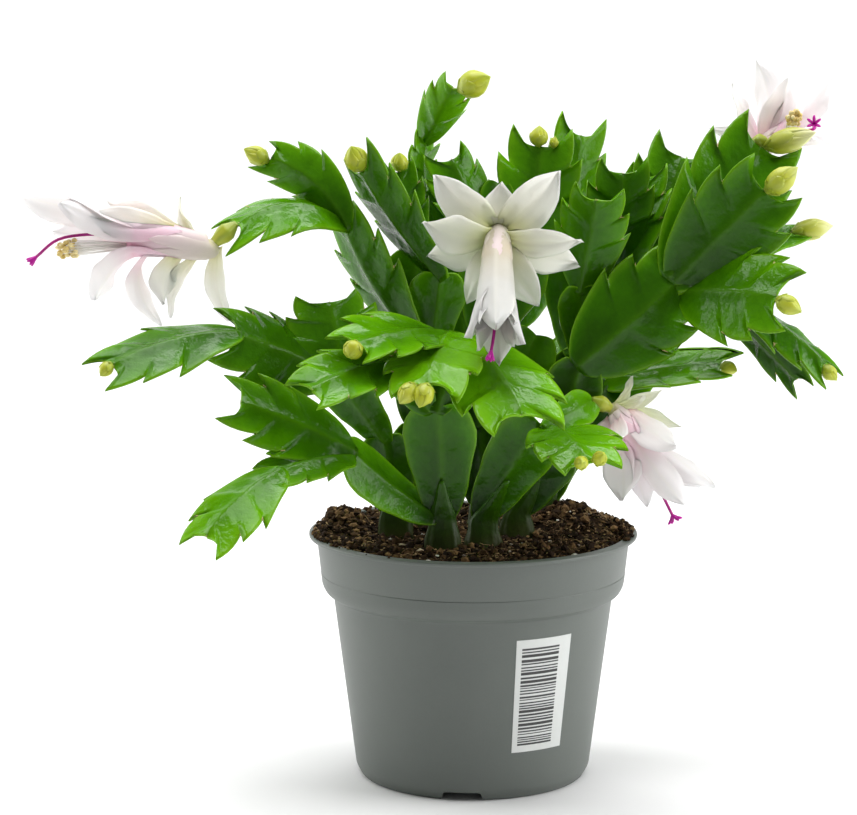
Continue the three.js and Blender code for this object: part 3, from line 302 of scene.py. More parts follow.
# Blooms: what carries one, its receptacle, tube with its radii, petals, style and stamens. The blush is how
# pink it is, from 0 for creamy to 1 for pink: the outer petals, then the tube with the inner ones. A petal is
# its place along the tube, turn about it, flare, length, width and twist, with the angles in degrees.
BLOOMS = {
    "bloom_left": {
        "on": ["leafy_stem_mid_left", "perch", 0], "blush": [0.15, 1.0],
        "receptacle": {"aim": [-0.75, -0.1, -0.65], "length": 9, "width": 6.5},
        "tube": [[-16, -3, 0.5], [-31, -5, 2]], "radii": [1.8, 5.2, 6.8], "up": [0, 0, 1],
        "petals": [
            [0.2, 5, 100, 19, 4, 40], [0.16, 172, 50, 27, 9, 70], [0.45, 178, 78, 24, 8, 60],
            [0.58, 190, 86, 19, 11, 60],
            [0.84, 176, 104, 26, 9, 70], [0.62, 110, 40, 26, 10, 30],
            [0.6, 45, 16, 28, 12, 40], [0.66, -40, 10, 30, 13, -40],
            [0.94, 0, 6, 42, 13, 60], [0.94, 90, 16, 30, 12], [0.94, 196, 52, 21, 12, 50],
            [0.94, 318, 12, 28, 13, -30],
        ],
        "style": [[-12, -1, 1], [-24, -1, -1], [-34, -1, -9]], "stigma": "club",
        "stamens": {"aim": [-0.97, -0.2, -0.04], "length": 20, "spread": 3.4, "lift": [-0.2, -1.2, -3]},
    },
    "bloom_front": {
        # The front bloom takes a darker copy of the petal colours: painted shade on its star and bell, over
        # their own creamy and pink colour
        "on": ["leafy_stem_centre", "bloom_holder", 0], "blush": [0.0, 0.55], "look": "petal_cream_painted_shade",
        "receptacle": {"aim": [0, -0.92, -0.3], "length": 9, "width": 6.5},
        "tube": [[-0.5, -13, -6], [-1, -23, -16]], "radii": [1.8, 4.4, 6.4], "up": [0, 0, 1],
        "petals": [
            [0.24, -46, 100, 28, 17], [0.24, -6, 98, 16, 13], [0.24, 48, 100, 28, 16],
            [0.24, 114, 96, 25, 14], [0.24, -112, 96, 29, 15],
            [0.46, 76, 84, 24, 15], [0.46, -84, 84, 26, 12], [0.46, 150, 66, 22, 12],
            [0.46, -148, 70, 25, 14],
            [0.8, 0, 6, 33, 15], [0.8, 90, 7, 33, 15], [0.82, 180, 9, 35, 14], [0.8, 270, 7, 35, 15],
            [0.8, 52, 6, 31, 9], [0.8, 130, 9, 33, 10], [0.8, 232, 7, 32, 10], [0.8, 308, 5, 30, 9],
        ],
        "style": [[-0.5, -7, -8], [-1, -12, -15.5], [-2.5, -17, -24]], "stigma": "club",
    },
    "bloom_right_high": {
        "on": ["leafy_stem_right", "upper", -2.5], "blush": [1.0, 1.0],
        "receptacle": {"aim": [0.3, 0.92, -0.3], "length": 7, "width": 6},
        "tube": [[4, 3, 1], [11, 3, 4]], "radii": [1.8, 3.6, 5], "up": [0, 0, 1],
        "petals": [
            [0.2, -30, 128, 26, 11, 60], [0.3, 15, 86, 25, 15, 60], [0.3, -75, 90, 22, 9],
            [0.5, -20, 62, 30, 13, 60],
            [0.92, -8, 20, 26, 14, -50], [0.92, -66, 34, 20, 12], [0.92, 165, 20, 14, 9],
            [0.92, 222, 26, 14, 9],
        ],
        "style": [[4, -4, 1], [7, -9, 2], [6, -15, 4]], "stigma": "lobes",
        "stamens": {"aim": [-0.15, -0.9, 0.4], "length": 12, "spread": 3, "lift": [0.9, -1.6, 1.2]},
    },
    "bloom_right_low": {
        "on": ["leafy_stem_front_right", "holder", 0], "blush": [0.7, 1.0],
        "receptacle": {"aim": [0.8, 0.3, -0.45], "length": 7, "width": 5.6},
        "tube": [[5, -2, -6], [11, -3, -14]], "radii": [1.8, 4, 5.6], "up": [0.75, 0, 0.66],
        "petals": [
            [0.14, -14, 84, 12, 4, 30], [0.12, 12, 50, 18, 5, 40], [0.12, 30, 74, 13, 4, 30],
            [0.2, 0, 10, 28, 6, 60], [0.4, 5, 22, 25, 14, 50], [0.5, 182, 68, 15, 12, 50],
            [0.5, 110, 40, 24, 11],
            [0.6, 200, 26, 27, 16, 80], [0.92, 0, 18, 31, 12, 50], [0.92, 90, 18, 28, 12],
            [0.92, 180, 16, 22, 12, 50], [0.92, 330, 8, 28, 14, 50],
        ],
        "style": [[3.5, -2, -8], [7.5, -3, -16], [11.5, -4, -24]], "stigma": "lobes",
    },
}

# How young and bright a segment is, from 0 for dark to 1; the rest take SEGMENT_YOUTH
SEGMENT_YOUTH = 0.4
YOUTH = {
    "shine": 0.76, "bright": 0.95, "ledge": 0.6, "low_ledge": 0.55, "shelf": 0.8, "leaf": 0.55, "hang": 0.76,
    "drop": 0.6, "gloss": 0.55, "far_end": 0.52, "middle": 0.42, "lower": 0.55, "upper": 0.45, "flag": 0.75,
    "holder": 0.7, "high": 0.58, "arm": 0.35, "perch": 0.6, "big": 0.24, "dark": 0.05, "low": 0.12,
    "mid": 0.1, "tall": 0.15, "reach": 0.4, "spire": 0.72, "spire_end": 0.78, "flat_top": 0.58, "fan": 0.34,
    "lean": 0.34, "claw": 0.45, "branch": 0.5, "drop_upper": 0.35, "drop_lower": 0.15, "dark_left": 0.44,
    "dark_right": 0.2, "shade": 0.2, "elbow": 0.3, "neck": 0.25,
}


def seeded(seed):
    """The part's own random numbers, so that the teeth here are its teeth."""
    state = seed
    while True:
        state = (state * 1664525 + 1013904223) % 4294967296
        yield state / 4294967296


def vec(values):
    return np.array(values, float)


def unit(v):
    return v / np.linalg.norm(v)


def clamp(value):
    return min(1.0, max(0.0, value))


def any_turn(rng):
    """Random angle round a full circle."""
    return rng.uniform(0, 6.28)


def arc(a, b, c, t):
    """Point at a share of the curve from a to c that b pulls towards itself."""
    return (1 - t) ** 2 * a + 2 * t * (1 - t) * b + t * t * c


def turned(v, axis, degrees):
    """v turned about a unit axis."""
    turn = math.radians(degrees)
    return v * math.cos(turn) + np.cross(axis, v) * math.sin(turn) + axis * axis.dot(v) * (1 - math.cos(turn))


def square_to(axis):
    """Two directions square to an axis and to each other."""
    across = unit(np.cross((0, 1, 0.02), axis))
    return across, np.cross(axis, across)


def circle(radius, z, sides, x=0, y=0):
    """Points of a level circle."""
    turns = [math.tau * k / sides for k in range(sides)]
    return [vec((x + math.cos(turn) * radius, y + math.sin(turn) * radius, z)) for turn in turns]


def add_object(name, data):
    obj = bpy.data.objects.new(name, data)
    bpy.context.scene.collection.objects.link(obj)
    return obj


def set_smooth(mesh, smooth=True):
    mesh.polygons.foreach_set("use_smooth", [smooth] * len(mesh.polygons))


class Mesh:
    """Points and faces that are gathered into one piece, with colour marks for its material."""

    def __init__(self):
        self.points = []
        self.faces = []
        self.marks = []

    def put(self, points, marks):
        """Adds points with their marks, and gives back the number of the first."""
        first = len(self.points)
        self.points.extend(points)
        self.marks.extend(marks)
        return first

    def grid(self, points, marks, closed=False):
        """Sheet of quads through rows of points; a closed one joins the ends of each row."""
        rows, columns = len(points), len(points[0])
        first = self.put([p for row in points for p in row], [m for row in marks for m in row])
        for i in range(rows - 1):
            for k in range(columns if closed else columns - 1):
                a = first + i * columns + k
                b = first + i * columns + (k + 1) % columns
                self.faces.append((a, b, b + columns, a + columns))
        return first

    def tube(self, rings, marks):
        """Closed tube through rings of points, with its ends capped."""
        first = self.grid(rings, marks, closed=True)
        columns = len(rings[0])
        last = first + (len(rings) - 1) * columns
        self.faces.append(tuple(range(first, first + columns))[::-1])
        self.faces.append(tuple(range(last, last + columns)))

    def shell(self, top, low, marks):
        """Closed thin sheet between two grids of points."""
        rows, columns = len(top), len(top[0])
        a = self.grid(top, marks)
        b = self.grid(low, marks)
        border = list(range(columns))
        border += [i * columns + columns - 1 for i in range(1, rows)]
        border += [(rows - 1) * columns + k for k in range(columns - 2, -1, -1)]
        border += [i * columns for i in range(rows - 2, 0, -1)]
        for here, there in zip(border, border[1:] + border[:1]):
            self.faces.append((a + here, a + there, b + there, b + here))

    def piece(self, name, material, node=None, smooth=True):
        """Makes the Blender object, which rides on the root and may stand for a CAD node."""
        mesh = bpy.data.meshes.new(name)
        mesh.from_pydata([tuple(p * MM) for p in self.points], [], self.faces)
        marks = mesh.attributes.new("marks", "FLOAT_COLOR", "POINT")
        flat = np.ones((len(self.points), 4))
        flat[:, :3] = np.array(self.marks, float).reshape(-1, 3)
        marks.data.foreach_set("color", flat.ravel())
        builder = bmesh.new()
        builder.from_mesh(mesh)
        bmesh.ops.remove_doubles(builder, verts=builder.verts, dist=2e-6)
        bmesh.ops.recalc_face_normals(builder, faces=builder.faces)
        builder.to_mesh(mesh)
        builder.free()
        set_smooth(mesh, smooth)
        mesh.materials.append(material)
        obj = add_object(name, mesh)
        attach(obj, "root")
        if node:
            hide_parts(node)
        return obj


class Curve:
    """Smooth curve through points, of the kind called centripetal Catmull-Rom."""

    def __init__(self, points):
        self.points = [vec(p) for p in points]

    def at(self, share):
        points = self.points
        place = (len(points) - 1) * share
        i = min(int(place), len(points) - 2)
        w = place - i
        p1, p2 = points[i], points[i + 1]
        p0 = points[i - 1] if i > 0 else 2 * points[0] - points[1]
        p3 = points[i + 2] if i + 2 < len(points) else 2 * points[-1] - points[-2]
        d0, d1, d2 = (math.sqrt(np.linalg.norm(b - a)) for a, b in ((p0, p1), (p1, p2), (p2, p3)))
        t1 = ((p1 - p0) / d0 - (p2 - p0) / (d0 + d1) + (p2 - p1) / d1) * d1
        t2 = ((p2 - p1) / d1 - (p3 - p1) / (d1 + d2) + (p3 - p2) / d2) * d1
        return p1 + t1 * w + (3 * (p2 - p1) - 2 * t1 - t2) * w ** 2 + (2 * (p1 - p2) + t1 + t2) * w ** 3

    def tangent(self, share):
        return unit(self.at(min(share + 1e-4, 1)) - self.at(max(share - 1e-4, 0)))


def ring(centre, axis, sides, radius, squash=1.0, ripple=None):
    """Points around a centre, in the plane across a direction; ripple changes the radius by the angle."""
    across, other = square_to(axis)
    points = []
    for k in range(sides):
        turn = math.tau * k / sides
        reach = radius * (ripple(turn) if ripple else 1)
        points.append(centre + across * math.cos(turn) * reach + other * math.sin(turn) * reach * squash)
    return points


def rod(mesh, curve, radii, sides, mark):
    """Tube along a curve whose radius follows a list."""
    rings = []
    for i, radius in enumerate(radii):
        share = i / (len(radii) - 1)
        rings.append(ring(curve.at(share), curve.tangent(share), sides, radius))
    mesh.tube(rings, [[mark] * sides] * len(rings))


# Stems

class Segment:
    """One flat stem segment: `along` from base to tip, `side` across the blade, `normal` off its face."""

    def __init__(self, base, tip, face, width, bow=0, cup=0, teeth=1, sweep=0):
        run = tip - base
        self.base = base
        self.length = np.linalg.norm(run)
        self.along = run / self.length
        self.normal = unit(face - self.along * face.dot(self.along))
        self.side = np.cross(self.along, self.normal)
        self.half_width = width / 2
        self.bow, self.cup, self.teeth, self.sweep = bow, cup, teeth, sweep
        self.old = teeth == OLD

    def spot(self, share, sideways, lift=0.0):
        """Point of the blade at a share of its length and a distance to the side of its rib."""
        arc = 4 * share * (1 - share)
        rise = self.bow * arc + self.cup * (sideways / self.half_width) ** 2 + lift
        return (self.base + self.along * self.length * share
                + self.side * (sideways + self.sweep * arc) + self.normal * rise)


def fine_edge(outline, sign, segment, draws):
    """The outline as closely set edge points: (along, out, rib place, curl, nearness to a notch)."""
    tip = (SEGMENT_END, 0.0, SEGMENT_END, 0.0)
    keys = []
    for along, out, rib, tooth, push, steps in outline:
        claw = tooth * ((segment.teeth - 1) * 0.1 + (next(draws) - 0.4) * 0.08 + 0.08)
        curl = tooth * (next(draws) - 0.5) * 2.4
        keys.append((along + claw * 0.4, out + claw, rib, curl, push, steps, tooth))
    edge = []
    for (a0, o0, r0, c0, push, steps, tooth), there in zip(keys, keys[1:] + [tip]):
        a1, o1, r1, c1 = there[:4]
        bend_along, bend_out = (a0 + a1) / 2 + push[0], (o0 + o1) / 2 + push[1]
        for step in range(steps):
            t = step / steps
            near = (1 - t) ** 2 * (1 - tooth) if a1 > a0 else t * t
            along, out = arc(a0, bend_along, a1, t), arc(o0, bend_out, o1, t)
            if segment.old:
                out *= 1 - 0.05 * abs(math.sin(along * 8.5 + sign)) * min(1.0, along * 2)
            edge.append((along, out, r0 + (r1 - r0) * t, c0 + (c1 - c0) * t, near))
    return edge + [(*tip, 0.0)]


def add_segment(mesh, hairs, segment, draws, youth, rng, from_foot):
    """Blade of one segment: two faces with a round edge, a thick rib and faint veins to the notches."""
    outline = SMOOTH_OUTLINE if segment.old else TOOTHED_OUTLINE
    by_key = [[next(draws) for _ in range(4)] for _ in outline]
    left = fine_edge(outline, -1, segment, iter([d for row in by_key for d in row[:2]]))
    right = fine_edge(outline, 1, segment, iter([d for row in by_key for d in row[2:]]))
    phase = any_turn(rng)
    wave = 0.25 if segment.old else 0.6

    def spot(edge_point, share, sign, face, i):
        along, out, rib, curl, near = edge_point
        a = rib + (along - rib) * share
        off = segment.half_width * out * share
        rib_half = RIB_HALF * (1.15 - 0.35 * rib)
        thick = EDGE_HALF + (rib_half - EDGE_HALF) * math.exp(-(off / 2.1) ** 2)
        vein = 0.1 * near * math.sin(math.pi * min(share * 1.1, 1)) * (0 if segment.old else 1)
        sheet = (curl * share + wave * share ** 2 * math.sin(i * 0.55 + phase + sign)
                 - 0.4 * math.sin(math.pi * share) * (1 - near))
        fade = min(1.0, (SEGMENT_END - rib) * 12 + 0.35)
        return segment.spot(a, sign * off, sheet + face * (thick * fade + vein))

    def mark(edge_point, share):
        along, out, rib_place, _, near = edge_point
        off = segment.half_width * out * share
        rim = max(0.0, (share - 0.9) / 0.1)
        rib = max(math.exp(-(off / 1.2) ** 2), 0.16 * near * (1 - share))
        wood = max(0.0, 1 - rib_place * segment.length / 8) * from_foot
        tone = youth + 0.24 * (rib_place - 0.45) + 0.32 * (share ** 2 - 0.35)
        return (rim, rib, tone * (1 - wood) - 0.25 * wood)

    faces = []
    for face in (1, -1):
        points, marks = [], []
        for i, (l, r) in enumerate(zip(left, right)):
            points.append([spot(l, s, -1, face, i) for s in reversed(ACROSS)]
                          + [spot(r, s, 1, face, i) for s in ACROSS[1:]])
            marks.append([mark(l, s) for s in reversed(ACROSS)] + [mark(r, s) for s in ACROSS[1:]])
        faces.append((mesh.grid(points, marks), points, marks))
    join_faces(mesh, faces)
    if not segment.old:
        add_areoles(hairs, segment, left, right, rng)


def join_faces(mesh, faces):
    """Rounds the edge between the two faces of a blade and closes its base."""
    (top, top_points, marks), (low, low_points, _) = faces
    columns = len(top_points[0])
    rows = len(top_points)
    for column, sign in ((0, -1), (columns - 1, 1)):
        rim = []
        for i in range(rows):
            middle = (top_points[i][column] + low_points[i][column]) / 2
            inner = top_points[i][column - sign]
            out = middle - inner
            size = np.linalg.norm(out)
            rim.append(middle + out / size * EDGE_HALF * 0.7 if size > 1e-6 else middle)
        first = mesh.put(rim, [marks[i][column] for i in range(rows)])
        for i in range(rows - 1):
            for face_first in (top, low):
                a = face_first + i * columns + column
                mesh.faces.append((a, a + columns, first + i + 1, first + i))
    for k in range(columns - 1):
        mesh.faces.append((top + k, top + k + 1, low + k + 1, low + k))


def add_areoles(hairs, segment, left, right, rng):
    """Short bristles in the notches and at the tip of a young segment."""
    places = [(segment.spot(SEGMENT_END - 0.02, 0.0), segment.along)]
    for edge, sign in ((left, -1), (right, 1)):
        for along, out, _, curl, near in edge:
            if near == 1.0 and along > 0.5:
                off = sign * segment.half_width * out
                way = unit(segment.along + segment.side * sign * 0.8)
                places.append((segment.spot(along, off, curl), way))
    for place, way in places:
        for _ in range(rng.choice((3, 4, 6))):
            lean = vec([rng.uniform(-0.6, 0.6) for _ in range(3)])
            end = place + unit(way + lean) * rng.uniform(0.8, 1.9)
            path = Curve([place - way * 0.4, place + way * 0.2, end])
            rod(hairs, path, [0.15, 0.12, 0.03], 4, (0, rng.random(), 0))


def add_foot(mesh, foot, top, first, youth, rng):
    """Ridged foot of a stem, which flattens as it rises and runs on into the first leaf as its rib."""
    rings, marks = [], []
    phase = any_turn(rng)
    low, high = SOIL_LEVEL - FOOT_DEPTH, top + FOOT_RISE
    way = unit(vec(first) - vec((*foot, top)))
    for i in range(FOOT_ROWS):
        z = low + (high - low) * i / (FOOT_ROWS - 1)
        rise = max(0.0, (z - SOIL_LEVEL - 1) / (high - SOIL_LEVEL - 1))
        wide = FOOT_HALF[0] * (1.1 + 0.05 * math.sin(z * 0.6 + phase)) * (1 - 0.88 * rise ** 1.3)
        deep = FOOT_HALF[1] * (0.97 + 0.04 * math.sin(z * 0.5)) * (1 - 0.82 * rise ** 0.6)
        lean = way * max(0.0, z - top + 2) / way[2]

        def ridges(turn):
            return 1 + 0.07 * math.sin(3 * turn + phase + z * 0.03) + 0.05 * math.sin(9 * turn + z * 0.1)

        centre = vec((foot[0] + lean[0], foot[1] + lean[1], z))
        rings.append(ring(centre, vec((0, 0, 1)), FOOT_SIDES, wide, deep / wide, ridges))
        green = (youth - 0.15) * rise ** 0.4 - 0.85 * (1 - rise) ** 1.8 + 0.05 * math.sin(z * 1.3 + phase)
        marks.append([(0, 0.1 + 0.5 * rise, green)] * FOOT_SIDES)
    mesh.tube(rings, marks)


def grow_stem(name, plan, material, hairs):
    """Foot and segments of one leafy stem; gives back the end of each, for what grows on it."""
    foot, top, *rows = plan
    draws = seeded(len(name) * 97 + len(rows))
    rng = random.Random(name)
    ends = {"foot": (vec((*foot, top)), vec((1, 0, 0)), vec((0, 0, 1)))}
    mesh = Mesh()
    key, _, _, tip = rows[0][:4]
    add_foot(mesh, foot, top, tip, YOUTH.get(key, SEGMENT_YOUTH), rng)
    for key, parent, shift, tip, width, face, *shape in rows:
        root, side, _ = ends[parent]
        base = root + side * shift
        base = base - unit(vec(tip) - base) * JOINT_SINK
        segment = Segment(base, vec(tip), vec(face), width, *shape)
        youth = YOUTH.get(key, SEGMENT_YOUTH) + rng.uniform(-0.06, 0.06)
        add_segment(mesh, hairs, segment, draws, youth, rng, parent == "foot")
        ends[key] = (segment.spot(SEGMENT_END, 0.0), segment.side, segment.along)
    mesh.piece(f"{name}_leaves", material, node=name)
    return ends


# Buds and blooms

def direction_about(axis, up, degrees):
    """Direction across an axis, turned about it from the way that is up."""
    first = unit(up - axis * up.dot(axis))
    turn = math.radians(degrees)
    return first * math.cos(turn) + unit(np.cross(axis, first)) * math.sin(turn)


def seat_on(stems, stem, segment, shift, aim, radius):
    """Middle of a bud's or receptacle's base, clear of the segment that carries it."""
    tip, side, along = stems[stem][segment]
    tilt = math.sin(math.acos(max(-1.0, min(1.0, along.dot(aim)))))
    return tip + side * shift + along * (SEAT + radius * tilt)


def bud_profile(share):
    """Half width of a bud as a share of its greatest."""
    places = [0, 0.05, 0.16, 0.3, 0.48, 0.64, 0.8, 0.92, 1.0]
    widths = [0.25, 0.36, 0.72, 0.93, 1.0, 0.9, 0.6, 0.26, 0.04]
    return float(np.interp(share, places, widths))


def add_scale(mesh, surface, turn, shares, spread, puff, lift, mark):
    """Pointed scale that hugs a round body between two places along it; its tip lifts off a little."""
    top, under, marks = [], [], []
    for i in range(11):
        t = i / 10
        share = shares[0] + (shares[1] - shares[0]) * t
        upper, lower, row = [], [], []
        for k in range(7):
            v = k / 3 - 1
            point, out = surface(share, turn + v * spread * (1 - t ** 2.6) ** 0.7)
            height = 0.1 + puff * (1 - v * v) * math.sin(math.pi * (0.25 + 0.7 * t)) + lift * t ** 3
            upper.append(point + out * height)
            lower.append(point + out * (lift * t ** 3 - 0.25))
            row.append(mark(share, max(abs(v), t)))
        top.append(upper)
        under.append(lower)
        marks.append(row)
    mesh.shell(top, under, marks)


def add_bud(mesh, base, aim, length, width, rng):
    """Closed bud: a plump drop under pointed scales, with a collar of tiny scales at its base."""
    start = base - aim * BASE_SINK
    long = length + BASE_SINK
    pale = clamp((length / width - 1.4) * 1.3)
    rings, marks = [], []
    for i in range(BUD_ROWS):
        share = i / (BUD_ROWS - 1)
        radius = max(bud_profile(share) * width / 2, 0.1)
        rings.append(ring(start + aim * long * share, aim, BUD_SIDES, radius))
        marks.append([(share, 0.2, pale)] * BUD_SIDES)
    mesh.tube(rings, marks)
    across, other = square_to(aim)

    def surface(share, angle):
        way = across * math.cos(angle) + other * math.sin(angle)
        return start + aim * share * long + way * bud_profile(share) * width / 2, way

    spin = any_turn(rng)
    for count, turn, low, high, spread, lift, tone in BUD_SCALES:
        for k in range(count):
            shares = (low, high + rng.uniform(-0.05, 0.04))
            add_scale(mesh, surface, spin + turn + math.tau * k / count, shares, spread, width * 0.03, lift,
                      lambda share, edge: (share, tone * (0.3 + 0.7 * edge ** 3), pale))


def add_receptacle(mesh, base, neck, aim, radius, rng):
    """Swollen base of a bloom, ribbed."""
    around, rows = 24, 16
    start = base - aim * BASE_SINK
    length = np.linalg.norm(neck - start) + 0.8
    shares, wides = zip((0, 0.3), (0.12, 0.52), (0.4, 1.0), (0.62, 0.98), (0.85, 0.7), (1.0, 0.56))
    rings, marks = [], []
    spin = any_turn(rng)
    for i in range(rows):
        share = i / (rows - 1)
        wide = float(np.interp(share, shares, wides)) * radius
        rings.append(ring(start + aim * length * share, aim, around, wide, 1.0,
                          lambda turn: 1 + 0.05 * math.sin(5 * turn + spin)))
        marks.append([(share * 0.7, 0.5 + 0.5 * math.sin(5 * math.tau * k / around + spin), 0.5)
                      for k in range(around)])
    mesh.tube(rings, marks)


def petal_width(share, at_mouth):
    """Half width of a petal as a share of its greatest; those at the mouth start wide."""
    places = [0, 0.1, 0.25, 0.42, 0.56, 0.68, 0.8, 0.9, 0.96, 1.0]
    widths = [0.5, 0.56, 0.78, 0.95, 1.0, 0.9, 0.66, 0.37, 0.16, 0.02]
    if at_mouth:
        widths = [1.0, 1.04, 1.08, 1.1, 1.06, 0.94, 0.7, 0.42, 0.2, 0.02]
    return float(np.interp(share, places, widths))


def add_petal(mesh, curve, radius_at, up, row, blush, rng):
    """Thin petal along a curve that leaves the tube and flares out, dished, with a wavy edge.

    A petal at the mouth first hugs the tube, so that it seems to grow out of it; those at its sides lie under
    the others.
    """
    place, turn, flare, length, width = row[:5]
    twist = row[5] if len(row) > 5 else 0
    at_mouth = place > MOUTH_PLACE
    axis = curve.tangent(place)
    out = direction_about(axis, up, turn)
    radius = radius_at(place)
    hug = 0.84 if 45 < turn % 180 < 135 else 0.98
    root = curve.at(place) + out * radius * (hug if at_mouth else 0.7)

    def lean(share, reach):
        angle = math.radians(flare * share)
        return root + axis * math.cos(angle) * reach + out * math.sin(angle) * reach

    bend_at, tip = lean(0.55, length * 0.5), lean(1, length)

    def tangent(t):
        return unit((1 - t) * (bend_at - root) + t * (tip - bend_at))

    across = unit(np.cross(out, axis))
    phase = any_turn(rng)
    bend = rng.uniform(-0.06, 0.06) * length
    curl = rng.uniform(-1.6, 1.0)
    ruffle = rng.uniform(0.8, 1.5)
    top, low, marks = [], [], []
    middle_column = PETAL_COLUMNS // 2
    for i in range(CLASP_ROWS if at_mouth else 0):
        share = place - 0.34 * (1 - i / CLASP_ROWS)
        centre, way = curve.at(share), curve.tangent(share)
        here = direction_about(way, up, turn)
        side = unit(np.cross(here, way))
        spread = width / 2 / radius * math.sin(math.pi / 2 * (i + 0.3) / (CLASP_ROWS + 0.3))
        reach = radius_at(share) * (0.99 - (0.99 - hug) * i / CLASP_ROWS)
        outer, inner, row_marks = [], [], []
        for k in range(PETAL_COLUMNS):
            v = k / middle_column - 1
            off = here * math.cos(v * spread) + side * math.sin(v * spread)
            outer.append(centre + off * (reach + 0.25))
            inner.append(centre + off * (reach - 0.25))
            row_marks.append((0.14, abs(v), blush))
        top.append(inner)
        low.append(outer)
        marks.append(row_marks)
    for i in range(PETAL_ROWS):
        t = i / (PETAL_ROWS - 1)
        side = turned(across, tangent(0.6), twist * min(1.0, t * 1.6) if at_mouth else twist)
        normal = unit(np.cross(side, tangent(t)))
        half = petal_width(t, at_mouth) * width / 2
        round_here = radius * hug * (1 + 0.35 * t)
        closed = (1 - t) ** 0.45 if at_mouth else 0
        row_top, row_low, row_marks = [], [], []
        for k in range(PETAL_COLUMNS):
            v = k / middle_column - 1
            angle = half * v / round_here
            rise = PETAL_DISH * width * t * v * v + curl * t ** 3
            rise += closed * round_here * (1 - math.cos(angle))
            rise += ruffle * v * v * math.sin(t * 7 + phase + 2.4 * v) * t
            rise += 0.5 * abs(v) ** 3 * math.sin(t * 19 + phase * 3 + 2 * v) * t
            rise += 0.22 * math.sin(v * 8 + phase) * math.sin(t * 10 + phase * 2) * t
            rise += (0.16 * math.cos(v * 11 + phase) - 0.35 * math.exp(-(v * 6) ** 2)) * (1 - 0.6 * t)
            reach = half * v * (1 + 0.11 * t * math.sin(t * 9 + phase + 3 * v)) * (1 - closed)
            reach += closed * round_here * math.sin(angle) + bend * t * t
            middle = arc(root, bend_at, tip, t) + side * reach + normal * rise
            thin = PETAL_HALF * (1.3 - 0.6 * t) * (1 - 0.6 * v * v)
            row_top.append(middle + normal * thin)
            row_low.append(middle - normal * thin)
            if width < SMALL_PETAL:
                row_marks.append((0.4 * t, abs(v), 0))
            else:
                row_marks.append((0.14 + 0.86 * t if at_mouth else t, abs(v), blush))
        top.append(row_top)
        low.append(row_low)
        marks.append(row_marks)
    mesh.shell(top, low, marks)


def tube_mark(share, edge, blush):
    """Colour marks of a bloom's tube: greenish at its start, pale in the middle and pinkest at the mouth."""
    return (0.04 + 1.3 * max(0.0, share - 0.1) * (1 - share), edge, blush * min(1.0, 0.1 + 1.3 * share))


def add_tube(mesh, curve, radius_at, blush, rng):
    """Tube of a bloom, drawn in to an open throat and wrapped in the feet of petals grown together."""
    path = [(i / 23, 1 - 0.35 * max(0.0, (i / 23 - 0.7) / 0.3) ** 2) for i in range(24)]
    path += [(0.97, 0.4), (0.9, 0.28), (0.85, 0.1)]
    rings, marks = [], []
    for share, drawn in path:
        rings.append(ring(curve.at(share), curve.tangent(share), TUBE_SIDES, radius_at(share) * drawn * 0.97))
        marks.append([tube_mark(share, 0.5, blush)] * TUBE_SIDES)
    mesh.tube(rings, marks)

    def surface(share, angle):
        across, other = square_to(curve.tangent(share))
        way = across * math.cos(angle) + other * math.sin(angle)
        return curve.at(share) + way * radius_at(share) * 0.97, way

    spin = any_turn(rng)
    for k in range(7):
        shares = (0.05 + rng.uniform(0, 0.2), rng.uniform(0.6, 0.9))
        shade = rng.uniform(-0.2, 0.2)
        add_scale(mesh, surface, spin + k * 0.9, shares, rng.uniform(0.5, 0.8), 0.3, rng.uniform(0.1, 0.4),
                  lambda share, edge: tube_mark(share, edge, clamp(blush + shade)))


